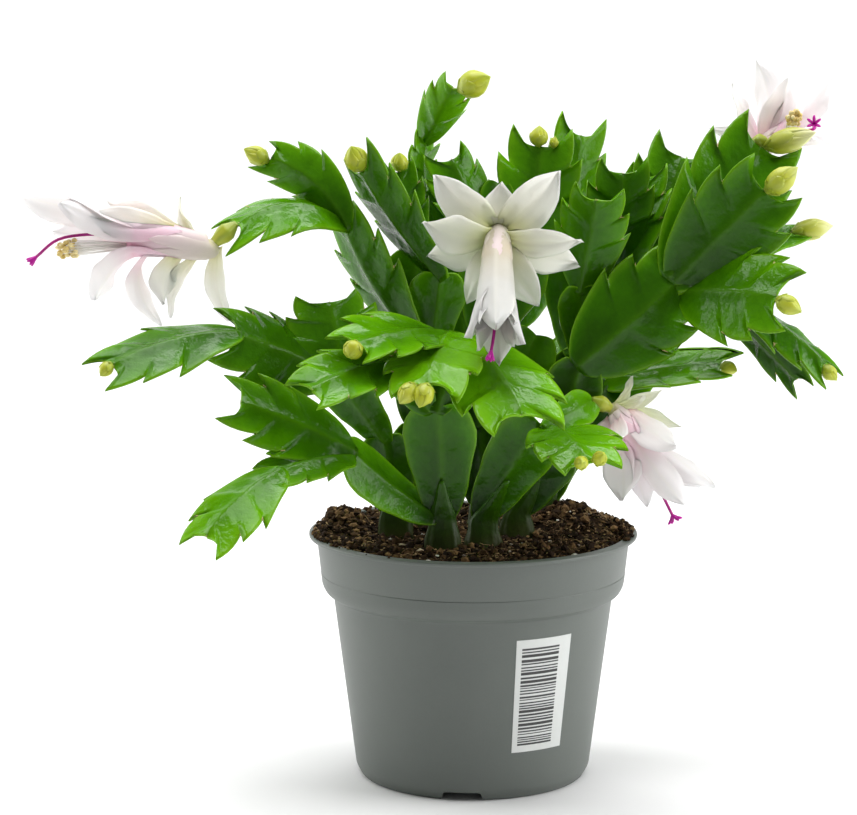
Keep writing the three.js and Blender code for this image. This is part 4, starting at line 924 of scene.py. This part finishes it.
def grow_bloom(name, bloom, stems, looks):
    """One bloom: receptacle, tube, petals, style with its stigma, and stamens where they show."""
    rng = random.Random(name)
    aim = unit(vec(bloom["receptacle"]["aim"]))
    radius = bloom["receptacle"]["width"] / 2
    base = seat_on(stems, *bloom["on"], aim, radius * 0.3)
    neck = base + aim * bloom["receptacle"]["length"]
    start = neck + aim * GAP
    curve = Curve([start, start + aim * 2.5] + [neck + vec(step) for step in bloom["tube"]])
    mouth = curve.at(1) + curve.tangent(1) * MOUTH_GAP
    up = vec(bloom["up"])
    radii = bloom["radii"]

    def radius_at(share):
        return float(np.interp(share * (len(radii) - 1), range(len(radii)), radii))

    mesh = Mesh()
    add_receptacle(mesh, base, neck, aim, radius, rng)
    mesh.piece(f"{name}_base", looks["bud"], node=f"{name}_receptacle")

    mesh = Mesh()
    star, bell = bloom["blush"]
    add_tube(mesh, curve, radius_at, bell, rng)
    mesh.piece(f"{name}_tube", looks["tube"])

    mesh = Mesh()
    for row in bloom["petals"]:
        blush = clamp((bell if row[0] > MOUTH_PLACE else star) + rng.uniform(-0.12, 0.12))
        add_petal(mesh, curve, radius_at, up, row, blush, rng)
    mesh.piece(f"{name}_flower", looks[bloom.get("look", "petal")], node=f"{name}_petals")

    mesh = Mesh()
    points = [mouth - curve.tangent(1) * 3, mouth] + [mouth + vec(step) for step in bloom["style"]]
    end = points[-1]
    way = unit(end - points[-2])
    spread, reach, back = (0.28, 4.2, 3.8) if bloom["stigma"] == "club" else (0.75, 4.0, 0.8)
    points[-1] = end - way * (back - 0.5)
    rod(mesh, Curve(points), [STYLE_RADIUS] * 20, 10, (0, 0, 0))
    for i in range(STIGMA_LOBES):
        out = direction_about(way, up, i * 360 / STIGMA_LOBES)
        lobe_way = unit(out * spread + way)
        foot = end - way * back
        bend = foot + lobe_way * reach * 0.6
        rod(mesh, Curve([foot, bend, bend + unit(lobe_way + out * spread) * reach * 0.4]),
            [0.4, 0.5, 0.55, 0.6, 0.5, 0.25], 8, (1, 0, 0))
    mesh.piece(f"{name}_pistil", looks["style"], node=f"{name}_style")

    if "stamens" in bloom:
        add_stamens(name, bloom["stamens"], mouth, curve.tangent(1), up, rng, looks)


def add_stamens(name, plan, mouth, way, up, rng, looks):
    """Brush of fine stamens, each a thin filament with a small anther."""
    aim = unit(vec(plan["aim"]))
    root = mouth + vec(plan["lift"])
    mesh = Mesh()
    for i in range(STAMENS):
        out = direction_about(aim, up, i * GOLDEN_ANGLE)
        reach = plan["spread"] * math.sqrt((i + 0.5) / STAMENS) * 0.9
        end = root + aim * (plan["length"] * rng.uniform(0.86, 1.16)) + out * reach
        foot = root - way * 3 + out * reach * 0.3
        bend = (foot + end) / 2 + vec((rng.uniform(-0.5, 0.5), rng.uniform(-0.5, 0.5), rng.uniform(0, 0.8)))
        path = Curve([foot, bend, end])
        rod(mesh, path, [FILAMENT_RADIUS] * 8, 5, (0, 0, 0))
        run = path.tangent(1)
        rod(mesh, Curve([end - run * 0.9, end, end + run * 1.1]), [0.25, 0.75, 0.85, 0.75, 0.25], 7,
            (1, rng.random(), 0))
    mesh.piece(f"{name}_anthers", looks["stamen"], node=f"{name}_stamens")


# Pot and soil

def rounded(outline):
    """Outline of (radius, z, corner radius) points with its corners turned into small arcs."""
    points = []
    count = len(outline)
    for i, (r, z, corner) in enumerate(outline):
        here = np.array((r, z), float)
        if corner == 0:
            points.append(here)
            continue
        before = np.array(outline[i - 1][:2], float) - here
        after = np.array(outline[(i + 1) % count][:2], float) - here
        reach = min(corner, np.linalg.norm(before) * 0.45, np.linalg.norm(after) * 0.45)
        a, b = here + unit(before) * reach, here + unit(after) * reach
        points += [arc(a, here, b, t) for t in (0, 0.25, 0.5, 0.75, 1)]
    return points


def cut(obj, cutters):
    """Takes cutter objects out of an object."""
    for cutter in cutters:
        tool = obj.modifiers.new("cut", "BOOLEAN")
        tool.object = cutter
        tool.operation = "DIFFERENCE"
        tool.solver = "EXACT"
    done = bpy.data.meshes.new_from_object(obj.evaluated_get(bpy.context.evaluated_depsgraph_get()))
    obj.modifiers.clear()
    obj.data = done
    for cutter in cutters:
        bpy.data.objects.remove(cutter)


def plain_object(name, build):
    """Object without marks or material, from a function that fills its mesh."""
    mesh = bpy.data.meshes.new(name)
    builder = bmesh.new()
    build(builder)
    builder.to_mesh(mesh)
    builder.free()
    return add_object(name, mesh)


def add_prism(builder, points):
    """Faces of a prism between two loops of points, given one after the other."""
    sides = len(points) // 2
    builder.faces.new(points[:sides][::-1])
    builder.faces.new(points[sides:])
    for k in range(sides):
        n = (k + 1) % sides
        builder.faces.new((points[k], points[n], points[sides + n], points[sides + k]))


def make_pot(material):
    """Turned shell of the pot, with a seam round its band, notches in its foot ring and drain holes."""
    seam_radius = BAND_FOOT_RADIUS + (BAND_TOP_RADIUS - BAND_FOOT_RADIUS) * (SEAM_Z - BAND_FOOT_Z) / (
        POT_HEIGHT - LIP_HEIGHT - BAND_FOOT_Z)
    outline = rounded([
        (0, 0, 0), (PAD_RADIUS, 0, 0.3), (PAD_RADIUS, FLOOR_LIFT, 0.4),
        (FOOT_RADIUS - FOOT_RING_WIDTH, FLOOR_LIFT, 0.4), (FOOT_RADIUS - FOOT_RING_WIDTH, 0, 0.3),
        (FOOT_RADIUS, 0, 0.7), (BODY_FOOT_RADIUS, BODY_FOOT_Z, 1.2),
        (BODY_TOP_RADIUS, BODY_TOP_Z, 1.0), (BAND_FOOT_RADIUS - 1.5, BODY_TOP_Z + 1.2, 1.0),
        (BAND_FOOT_RADIUS, BAND_FOOT_Z, 1.6),
        (seam_radius, SEAM_Z - 0.3, 0), (seam_radius - SEAM_DEPTH, SEAM_Z, 0), (seam_radius, SEAM_Z + 0.3, 0),
        (BAND_TOP_RADIUS, POT_HEIGHT - LIP_HEIGHT, 0.4), (LIP_RADIUS, POT_HEIGHT - LIP_HEIGHT * 0.8, 0.4),
        (LIP_RADIUS, POT_HEIGHT, 0.5), (BAND_TOP_RADIUS - WALL, POT_HEIGHT, 0.6),
        (BAND_FOOT_RADIUS - WALL, BAND_FOOT_Z + 1, 0.5), (BODY_TOP_RADIUS - WALL, BODY_TOP_Z + 1.5, 0.5),
        (BODY_FOOT_RADIUS - WALL, FLOOR_LIFT + WALL, 0.5), (0, FLOOR_LIFT + WALL, 0),
    ])
    mesh = Mesh()
    rings = [circle(radius, z, POT_SIDES) for radius, z in outline]
    mesh.grid(rings, [[(0, 0, 0)] * POT_SIDES] * len(rings), closed=True)
    pot = mesh.piece("flower_pot", material, node="pot")
    cutters = []
    for i in range(NOTCH["count"]):
        turn = math.radians(NOTCH["first_turn"] - 90 + i * 360 / NOTCH["count"])
        reach = FOOT_RADIUS - FOOT_RING_WIDTH / 2
        long, wide, tall = FOOT_RING_WIDTH * 3, NOTCH["width"], NOTCH["height"]

        def wedge(builder):
            points = []
            for x in (-long / 2, long / 2):
                for y, z in ((-wide / 2 - 0.4, -1), (-wide / 2 + 0.8, tall - 0.4), (-wide / 2 + 1.6, tall),
                             (wide / 2 - 1.6, tall), (wide / 2 - 0.8, tall - 0.4), (wide / 2 + 0.4, -1)):
                    a = math.cos(turn) * (reach + x) - math.sin(turn) * y
                    b = math.sin(turn) * (reach + x) + math.cos(turn) * y
                    points.append(builder.verts.new(Vector((a, b, z)) * MM))
            add_prism(builder, points)
            bmesh.ops.recalc_face_normals(builder, faces=builder.faces)

        cutters.append(plain_object(f"notch_{i}", wedge))
    for i in range(DRAIN["count"]):
        turn = (i + 0.5) / DRAIN["count"] * math.tau
        middle = (math.cos(turn) * DRAIN["ring_radius"], math.sin(turn) * DRAIN["ring_radius"])

        def drill(builder):
            points = []
            for z in (-2, 12):
                points += [builder.verts.new(Vector(p) * MM)
                           for p in circle(DRAIN["radius"], z, DRAIN["sides"], *middle)]
            add_prism(builder, points)

        cutters.append(plain_object(f"drain_{i}", drill))
    cut(pot, cutters)
    set_smooth(pot.data)
    pot.data.set_sharp_from_angle(angle=math.radians(SHARP_ANGLE))


def on_body(turn, z, lift):
    """Point on the pot's body; turn is in degrees from the front toward the right."""
    share = (z - BODY_FOOT_Z) / (BODY_TOP_Z - BODY_FOOT_Z)
    radius = BODY_FOOT_RADIUS + (BODY_TOP_RADIUS - BODY_FOOT_RADIUS) * share + lift
    angle = math.radians(turn)
    return vec((math.sin(angle) * radius, -math.cos(angle) * radius, z))


def add_patch(mesh, turns, heights, lifts):
    """Thin patch on the pot's body, closed down to its surface."""
    layers = [[[on_body(turn, z, lift) for turn in np.linspace(*turns, 9)] for z in np.linspace(*heights, 3)]
              for lift in lifts]
    mesh.shell(layers[1], layers[0], [[(0, 0, 0)] * 9] * 3)


def make_label(paper, ink):
    """Plain pale label with level bars and no writing."""
    mesh = Mesh()
    lift = LABEL["lift"]
    left, right = LABEL["turns"]
    low, high = LABEL["heights"]
    add_patch(mesh, (left, right), (low, high), (-0.4, lift))
    mesh.piece("label", paper, smooth=False)
    rng = random.Random("label")
    mesh = Mesh()
    z = low + 2.5
    while z < high - 3.2:
        bar = rng.choice((0.35, 0.5, 0.7, 1.05))
        add_patch(mesh, (left + 2.5, right - 6), (z, z + bar), (lift - 0.05, lift + 0.03))
        z += bar + rng.choice((0.4, 0.55, 0.8))
    mesh.piece("label_bars", ink, smooth=False)


def soil_top(x, y):
    """Height of the soil, heaped in places and lower at the pot's wall."""
    z = SOIL_LEVEL
    for hx, hy, height, spread in SOIL_HEAPS:
        z += height * math.exp(-((x - hx) ** 2 + (y - hy) ** 2) / spread ** 2)
    far = math.hypot(x, y) / SOIL_RADIUS
    return z - 0.8 * max(0.0, far - 0.86) / 0.14


# Twenty-sided lump that each crumb is made from
LUMP_CORNERS = [
    (0, 0, 1), (0.9, 0, 0.3), (0.28, 0.86, 0.3), (-0.73, 0.53, 0.3), (-0.73, -0.53, 0.3), (0.28, -0.86, 0.3),
    (0.73, 0.53, -0.4), (-0.28, 0.86, -0.4), (-0.9, 0, -0.4), (-0.28, -0.86, -0.4), (0.73, -0.53, -0.4),
    (0, 0, -1),
]
LUMP_SIDES = [
    (0, 1, 2), (0, 2, 3), (0, 3, 4), (0, 4, 5), (0, 5, 1), (1, 6, 2), (2, 7, 3), (3, 8, 4), (4, 9, 5),
    (5, 10, 1), (2, 6, 7), (3, 7, 8), (4, 8, 9), (5, 9, 10), (1, 10, 6), (11, 7, 6), (11, 8, 7), (11, 9, 8),
    (11, 10, 9), (11, 6, 10),
]


def lump(mesh, at, size, rng, mark, flat=1.0):
    """Small crumb with uneven corners."""
    spin = any_turn(rng)
    tip = rng.uniform(-0.6, 0.6)
    points = []
    for x, y, z in LUMP_CORNERS:
        reach = size * rng.uniform(0.65, 1.25)
        a = x * math.cos(spin) - y * math.sin(spin)
        b = (x * math.sin(spin) + y * math.cos(spin)) * (0.6 + 0.4 * flat)
        points.append(at + vec((a, b * math.cos(tip) - z * flat * math.sin(tip),
                                b * math.sin(tip) + z * flat * math.cos(tip))) * reach)
    first = mesh.put(points, [mark] * len(points))
    mesh.faces.extend([tuple(first + k for k in side) for side in LUMP_SIDES])


def make_soil(material):
    """Plug of soil with a rough top, then loose crumbs, flakes and pebbles on it, and fibres."""
    mesh = Mesh()
    rings, marks = [], []
    for i in range(SOIL_ROWS):
        row, row_marks = [], []
        for x, y, _ in circle(SOIL_RADIUS * (i + 0.4) / (SOIL_ROWS - 0.6), 0, SOIL_SIDES):
            rough = noise.fractal(Vector((x, y, 3)) * 0.16, 1.0, 2.0, 5) * 1.6
            rough += abs(noise.noise(Vector((x, y, 9)) * 0.7)) * 1.1
            row.append(vec((x, y, soil_top(x, y) + rough)))
            row_marks.append((0, 0.3 + 0.5 * noise.noise(Vector((x, y, 5)) * 0.5), 0))
        rings.append(row)
        marks.append(row_marks)
    mesh.grid(rings, marks, closed=True)
    mesh.faces.append(tuple(range(SOIL_SIDES))[::-1])
    first = (SOIL_ROWS - 1) * SOIL_SIDES
    for radius, z in SOIL_WALL:
        here = mesh.put(circle(radius, z, SOIL_SIDES), [(0, 0, 0)] * SOIL_SIDES)
        for k in range(SOIL_SIDES):
            n = (k + 1) % SOIL_SIDES
            mesh.faces.append((first + k, first + n, here + n, here + k))
        first = here
    mesh.faces.append(tuple(range(first, first + SOIL_SIDES)))
    mesh.piece("potting_soil", material, node="soil")

    rng = random.Random("soil")
    feet = [foot for foot, *_ in STEMS.values()]

    def place():
        """Random spot on the soil, clear of the feet of the stems."""
        while True:
            turn, reach = rng.uniform(0, math.tau), LOOSE_RADIUS * math.sqrt(rng.random())
            x, y = math.cos(turn) * reach, math.sin(turn) * reach
            if all(math.hypot((x - fx) / FOOT_ROOM[0], (y - fy) / FOOT_ROOM[1]) > 1 for fx, fy in feet):
                return x, y

    def drop(x, y, lift, size, mark, flat=1.0):
        lump(mesh, vec((x, y, soil_top(x, y) + lift)), size, rng, mark, flat)

    mesh = Mesh()
    for _ in range(CRUMBS):
        x, y = place()
        size = rng.choice((0.3, 0.4, 0.5, 0.7, 1.0, 1.5)) * rng.uniform(0.8, 1.2)
        drop(x, y, 0.6 + size * rng.uniform(0.3, 1.1), size, (0, rng.random() ** 2, 0),
             rng.choice((0.3, 0.5, 0.8, 1.0)))
    for x, y, height, spread in SOIL_HEAPS:
        for _ in range(int(height * 16)):
            a, b = x + rng.gauss(0, spread * 0.4), y + rng.gauss(0, spread * 0.4)
            size = rng.uniform(0.6, 1.9)
            if math.hypot(a, b) < HEAP_RADIUS:
                drop(a, b, 0.5 + size * 0.5, size, (0, rng.random(), 0))
    for _ in range(FLAKES):
        x, y = place()
        size = rng.uniform(0.25, 0.75)
        tone = rng.choice((0.2, 0.3, 0.5, 1.0))
        drop(x, y, 1.6, size, (tone, rng.random(), 0), 0.35)
    for _ in range(PEBBLES):
        x, y = place()
        drop(x, y, 1.7, rng.choice((0.4, 0.6, 0.8, 1.3)),
             (rng.choice((0.3, 1.0)), 0.5, rng.choice((0.3, 0.9))), 0.5)
    for middle, spread, count in SPILLS:
        for _ in range(count):
            turn = math.radians(rng.gauss(middle, spread))
            reach = rng.uniform(*SPILL_RADII)
            size = rng.uniform(0.3, 1.2)
            height = POT_HEIGHT + size * 0.5 + max(0.0, 57 - reach) * rng.uniform(0, 0.7)
            lump(mesh, vec((math.cos(turn) * reach, math.sin(turn) * reach, height)), size, rng,
                 (rng.choice((0, 0, 0, 0, 0, 0.4)), rng.random() ** 2, 0))
    mesh.piece("soil_crumbs", material, smooth=False)

    mesh = Mesh()
    for _ in range(FIBRES):
        x, y = place()
        turn = any_turn(rng)
        long = rng.uniform(1.5, 6.5)
        points = []
        for step in (-1, -0.3, 0.4, 1):
            a = x + math.cos(turn) * long * step / 2 + rng.uniform(-0.5, 0.5)
            b = y + math.sin(turn) * long * step / 2 + rng.uniform(-0.5, 0.5)
            shrink = min(1.0, FIBRE_RADIUS / math.hypot(a, b))
            a, b = a * shrink, b * shrink
            points.append((a, b, soil_top(a, b) + rng.uniform(0.9, 2.4)))
        rod(mesh, Curve(points), [rng.uniform(0.1, 0.24)] * 7, 5, (rng.choice((0, 0.15, 0.35, 0.7)), 0.6, 0))
    mesh.piece("soil_fibres", material)


# Materials

class Look:
    """Material with a node tree that is built step by step."""

    def __init__(self, name, **values):
        self.material = bpy.data.materials.new(name)
        self.material.use_nodes = True
        self.tree = self.material.node_tree
        self.shader = next(n for n in self.tree.nodes if n.type == "BSDF_PRINCIPLED")
        for socket, value in values.items():
            self.shader.inputs[socket.replace("_", " ")].default_value = value

    def node(self, kind, **settings):
        node = self.tree.nodes.new(kind)
        for key, value in settings.items():
            setattr(node, key, value)
        return node

    def feed(self, socket, value):
        """Gives a socket a number, a colour or the output of another node."""
        if isinstance(value, tuple):
            socket.default_value = (*value, 1)
        elif isinstance(value, (int, float)):
            socket.default_value = value
        else:
            self.tree.links.new(value, socket)

    def marks(self):
        """Red, green and blue of the piece's own colour marks."""
        source = self.node("ShaderNodeAttribute", attribute_name="marks")
        split = self.node("ShaderNodeSeparateColor")
        self.feed(split.inputs[0], source.outputs["Color"])
        return split.outputs

    def noise(self, scale, detail=3.0):
        place = self.node("ShaderNodeTexCoord")
        texture = self.node("ShaderNodeTexNoise")
        texture.inputs["Scale"].default_value = scale
        texture.inputs["Detail"].default_value = detail
        self.feed(texture.inputs["Vector"], place.outputs["Object"])
        return texture.outputs["Fac"]

    def math(self, operation, a, b):
        node = self.node("ShaderNodeMath", operation=operation)
        for socket, value in zip(node.inputs, (a, b)):
            self.feed(socket, value)
        return node.outputs[0]

    def plus(self, base, other, share):
        """The base and a share of another value."""
        return self.math("ADD", base, self.math("MULTIPLY", other, share))

    def ramp(self, value, stops):
        node = self.node("ShaderNodeValToRGB")
        points = node.color_ramp.elements
        while len(points) < len(stops):
            points.new(0.5)
        for point, (place, colour) in zip(points, stops):
            point.position = place
            point.color = (*colour, 1)
        self.feed(node.inputs[0], value)
        return node.outputs[0]

    def mix(self, share, a, b):
        node = self.node("ShaderNodeMix", data_type="RGBA")
        for index, value in ((0, share), (6, a), (7, b)):
            self.feed(node.inputs[index], value)
        return node.outputs[2]

    def tint(self, base, mask, strength, colour):
        """The base with some of a colour on it, as strong as a mask."""
        return self.mix(self.math("MULTIPLY", mask, strength), base, colour)

    def colour(self, source):
        self.feed(self.shader.inputs["Base Color"], source)

    def bump(self, heights):
        """Layers of bumps, each a height source, a depth in metres and a strength."""
        last = None
        for height, depth, strength in heights:
            node = self.node("ShaderNodeBump")
            node.inputs["Distance"].default_value = depth
            node.inputs["Strength"].default_value = strength
            self.feed(node.inputs["Height"], height)
            if last:
                self.feed(node.inputs["Normal"], last)
            last = node.outputs[0]
        self.feed(self.shader.inputs["Normal"], last)


def petal_look(name, cream_bright, pink_bright, soft):
    """Petal colour: creamy or pink by the marks, greenish or deeper pink at its foot, with a faint vein."""
    def stops(bright, *rows):
        return [(place, tuple(min(0.88, value * bright) for value in colour)) for place, colour in rows]

    petal = Look(name, Roughness=0.5, Subsurface_Weight=soft, Subsurface_Scale=0.0015)
    petal.shader.inputs["Subsurface Radius"].default_value = (1.0, 0.9, 0.85)
    along, across, blush = petal.marks()
    cream = petal.ramp(along, stops(
        cream_bright, (0.0, (0.46, 0.53, 0.12)), (0.2, (0.6, 0.64, 0.36)), (0.5, (0.67, 0.68, 0.55)),
        (1.0, (0.7, 0.69, 0.63))))
    pink = petal.ramp(along, stops(
        pink_bright, (0.0, (0.8, 0.3, 0.48)), (0.2, (0.82, 0.56, 0.64)), (0.5, (0.82, 0.74, 0.75)),
        (1.0, (0.82, 0.81, 0.81))))
    base = petal.mix(blush, cream, pink)
    vein = petal.node("ShaderNodeMapRange")
    for socket, value in (("Value", across), ("From Max", 0.16), ("To Min", 0.15), ("To Max", 0.0)):
        petal.feed(vein.inputs[socket], value)
    base = petal.mix(vein.outputs[0], base, (0.8, 0.78, 0.6))
    petal.colour(petal.tint(base, petal.noise(260, 3), 0.2, (0.84, 0.78, 0.8)))
    petal.bump([(petal.noise(900, 3), 0.0001, 0.3)])
    return petal.material


def make_looks():
    """All materials by a short name; the numbers in a Look are those of its shader's own sockets."""
    looks = {}

    leaf = Look("leaf_green", Specular_IOR_Level=0.18)
    rim, rib, youth = leaf.marks()
    patches = leaf.math("SUBTRACT", leaf.noise(110, 4), 0.5)
    fine = leaf.math("SUBTRACT", leaf.noise(700, 3), 0.5)
    tone = leaf.math("ADD", leaf.math("MULTIPLY", youth, 0.5), 0.5)
    tone = leaf.plus(leaf.plus(tone, patches, 0.2), fine, 0.06)
    base = leaf.ramp(tone, [
        (0.0, (0.04, 0.034, 0.008)), (0.22, (0.024, 0.036, 0.004)), (0.42, (0.014, 0.044, 0.0008)),
        (0.55, (0.016, 0.064, 0.0006)), (0.71, (0.035, 0.14, 0.0006)), (0.85, (0.08, 0.27, 0.001)),
        (1.0, (0.15, 0.42, 0.003)),
    ])
    base = leaf.tint(base, rib, 0.38, (0.07, 0.2, 0.004))
    leaf.colour(leaf.tint(base, rim, 0.5, (0.18, 0.38, 0.012)))
    rough = leaf.ramp(tone, [(0.1, (0.5,) * 3), (0.5, (0.25,) * 3), (0.8, (0.15,) * 3)])
    leaf.feed(leaf.shader.inputs["Roughness"], rough)
    leaf.bump([(leaf.noise(170, 3), 0.0013, 0.5), (leaf.noise(1300, 2), 0.00012, 0.5)])
    looks["leaf"] = leaf.material

    bristle = Look("bristle_tan", Roughness=0.7)
    _, tone, _ = bristle.marks()
    bristle.colour(bristle.mix(tone, (0.42, 0.3, 0.1), (0.72, 0.6, 0.3)))
    looks["bristle"] = bristle.material

    bud = Look("bud_green", Roughness=0.4, Subsurface_Weight=0.2, Subsurface_Scale=0.0015)
    bud.shader.inputs["Subsurface Radius"].default_value = (1.0, 1.0, 0.3)
    along, fold, pale = bud.marks()
    green = bud.ramp(along, [
        (0.0, (0.2, 0.28, 0.01)), (0.25, (0.38, 0.46, 0.01)), (0.7, (0.54, 0.58, 0.015)),
        (1.0, (0.42, 0.52, 0.02)),
    ])
    cream = bud.ramp(along, [
        (0.0, (0.22, 0.28, 0.01)), (0.3, (0.42, 0.45, 0.02)), (0.6, (0.62, 0.63, 0.12)),
        (1.0, (0.86, 0.83, 0.56)),
    ])
    base = bud.tint(bud.mix(pale, green, cream), fold, 0.55, (0.3, 0.42, 0.04))
    bud.colour(bud.tint(base, bud.noise(400, 3), 0.25, (0.5, 0.5, 0.08)))
    bud.bump([(bud.noise(500, 3), 0.0003, 0.3)])
    looks["bud"] = bud.material

    looks["petal"] = petal_look("petal_white", 1.05, 1.08, 0.6)
    # Darker copy for the front bloom, its pink most of all: painted shade on its bell and star, over their
    # own creamy colour
    looks["petal_cream_painted_shade"] = petal_look("petal_cream_painted_shade", 0.96, 0.7, 0.55)
    looks["tube"] = petal_look("bloom_tube", 0.92, 0.92, 0.0)

    style = Look("style_magenta", Roughness=0.4)
    tip, _, _ = style.marks()
    style.colour(style.mix(tip, (0.42, 0.004, 0.22), (0.56, 0.002, 0.36)))
    style.bump([(style.noise(1500, 2), 0.0001, 0.3)])
    looks["style"] = style.material

    stamen = Look("stamen_yellow", Roughness=0.7)
    anther, tone, _ = stamen.marks()
    pollen = stamen.mix(tone, (0.66, 0.48, 0.13), (0.9, 0.78, 0.42))
    stamen.colour(stamen.mix(anther, (0.95, 0.93, 0.88), pollen))
    stamen.bump([(stamen.noise(2500, 2), 0.0001, 0.5)])
    looks["stamen"] = stamen.material

    pot = Look("pot_plastic", Roughness=0.5)
    cloud = pot.noise(45, 4)
    speck = pot.noise(1600, 2)
    base = pot.mix(cloud, (0.105, 0.12, 0.108), (0.125, 0.14, 0.126))
    pot.colour(pot.tint(base, speck, 0.2, (0.17, 0.19, 0.17)))
    pot.bump([(pot.noise(2200, 2), 0.00006, 0.5), (pot.noise(60, 2), 0.0004, 0.15)])
    looks["pot"] = pot.material

    soil = Look("soil_peat", Roughness=0.95, Specular_IOR_Level=0.2)
    tan, tone, white = soil.marks()
    grain = soil.noise(900, 5)
    base = soil.ramp(soil.plus(soil.math("MULTIPLY", tone, 0.6), grain, 0.4), [
        (0.0, (0.005, 0.0025, 0.001)), (0.3, (0.022, 0.011, 0.004)), (0.6, (0.075, 0.04, 0.015)),
        (1.0, (0.38, 0.23, 0.1)),
    ])
    base = soil.mix(tan, base, (0.5, 0.34, 0.18))
    soil.colour(soil.mix(white, base, (0.8, 0.78, 0.72)))
    soil.bump([(grain, 0.0006, 0.8)])
    looks["soil"] = soil.material

    paper = Look("label_paper", Roughness=0.45)
    paper.colour(paper.mix(paper.noise(500, 2), (0.66, 0.68, 0.66), (0.7, 0.72, 0.7)))
    looks["paper"] = paper.material
    ink = Look("label_ink", Roughness=0.5)
    ink.colour(ink.mix(ink.noise(800, 2), (0.035, 0.036, 0.036), (0.05, 0.05, 0.05)))
    looks["ink"] = ink.material

    floor = Look("studio_floor", Roughness=0.9)
    floor.shader.inputs["Base Color"].default_value = (0.9, 0.9, 0.9, 1)
    looks["floor"] = floor.material
    return looks


# Studio

def area_light(name, at, towards, size, power):
    light = bpy.data.lights.new(name, "AREA")
    light.shape = "RECTANGLE"
    light.size, light.size_y = size
    light.energy = power
    obj = add_object(name, light)
    obj.location = at
    obj.rotation_euler = (Vector(towards) - Vector(at)).to_track_quat("-Z", "Y").to_euler()


def make_studio(looks):
    """Pale floor that curves up into a backdrop, the lights, a faint world and the camera."""
    def sheet(builder):
        path = [(-3.0, 0.0), (1.5, 0.0)]
        for step in range(1, 17):
            turn = math.radians(90 * step / 16)
            path.append((1.5 + 1.2 * math.sin(turn), 1.2 * (1 - math.cos(turn))))
        path.append((2.7, 4.0))
        rows = [[builder.verts.new((x, y, z)) for x in (-5, 5)] for y, z in path]
        for (a, b), (c, d) in zip(rows, rows[1:]):
            builder.faces.new((a, b, d, c))

    floor = plain_object("floor", sheet)
    set_smooth(floor.data)
    floor.data.materials.append(looks["floor"])
    world = bpy.data.worlds.new("studio")
    world.use_nodes = True
    background = world.node_tree.nodes["Background"]
    background.inputs["Color"].default_value = (1, 1, 1, 1)
    background.inputs["Strength"].default_value = WORLD_STRENGTH
    bpy.context.scene.world = world
    for row in LIGHTS:
        area_light(*row)
    camera = bpy.data.cameras.new("camera")
    camera.sensor_width = 36
    camera.sensor_fit = "HORIZONTAL"
    camera.lens = CAMERA_LENS
    camera.clip_start = 0.05
    obj = add_object("camera", camera)
    obj.location = CAMERA_AT
    obj.rotation_euler = (math.radians(90 + CAMERA_PITCH), 0, 0)
    bpy.context.scene.camera = obj
    bpy.context.scene.view_settings.view_transform = "Standard"


looks = make_looks()
make_pot(looks["pot"])
make_label(looks["paper"], looks["ink"])
make_soil(looks["soil"])
stems = {}
hairs = Mesh()
for name, plan in STEMS.items():
    stems[name] = grow_stem(name, plan, looks["leaf"], hairs)
hairs.piece("areole_bristles", looks["bristle"])
for name, stem, segment, shift, aim, length, width in BUDS:
    aim = unit(vec(aim))
    mesh = Mesh()
    base = seat_on(stems, stem, segment, shift, aim, width / 8)
    add_bud(mesh, base, aim, length, width, random.Random(name))
    mesh.piece(f"{name}_scales", looks["bud"], node=name)
for name, bloom in BLOOMS.items():
    grow_bloom(name, bloom, stems, looks)
make_studio(looks)
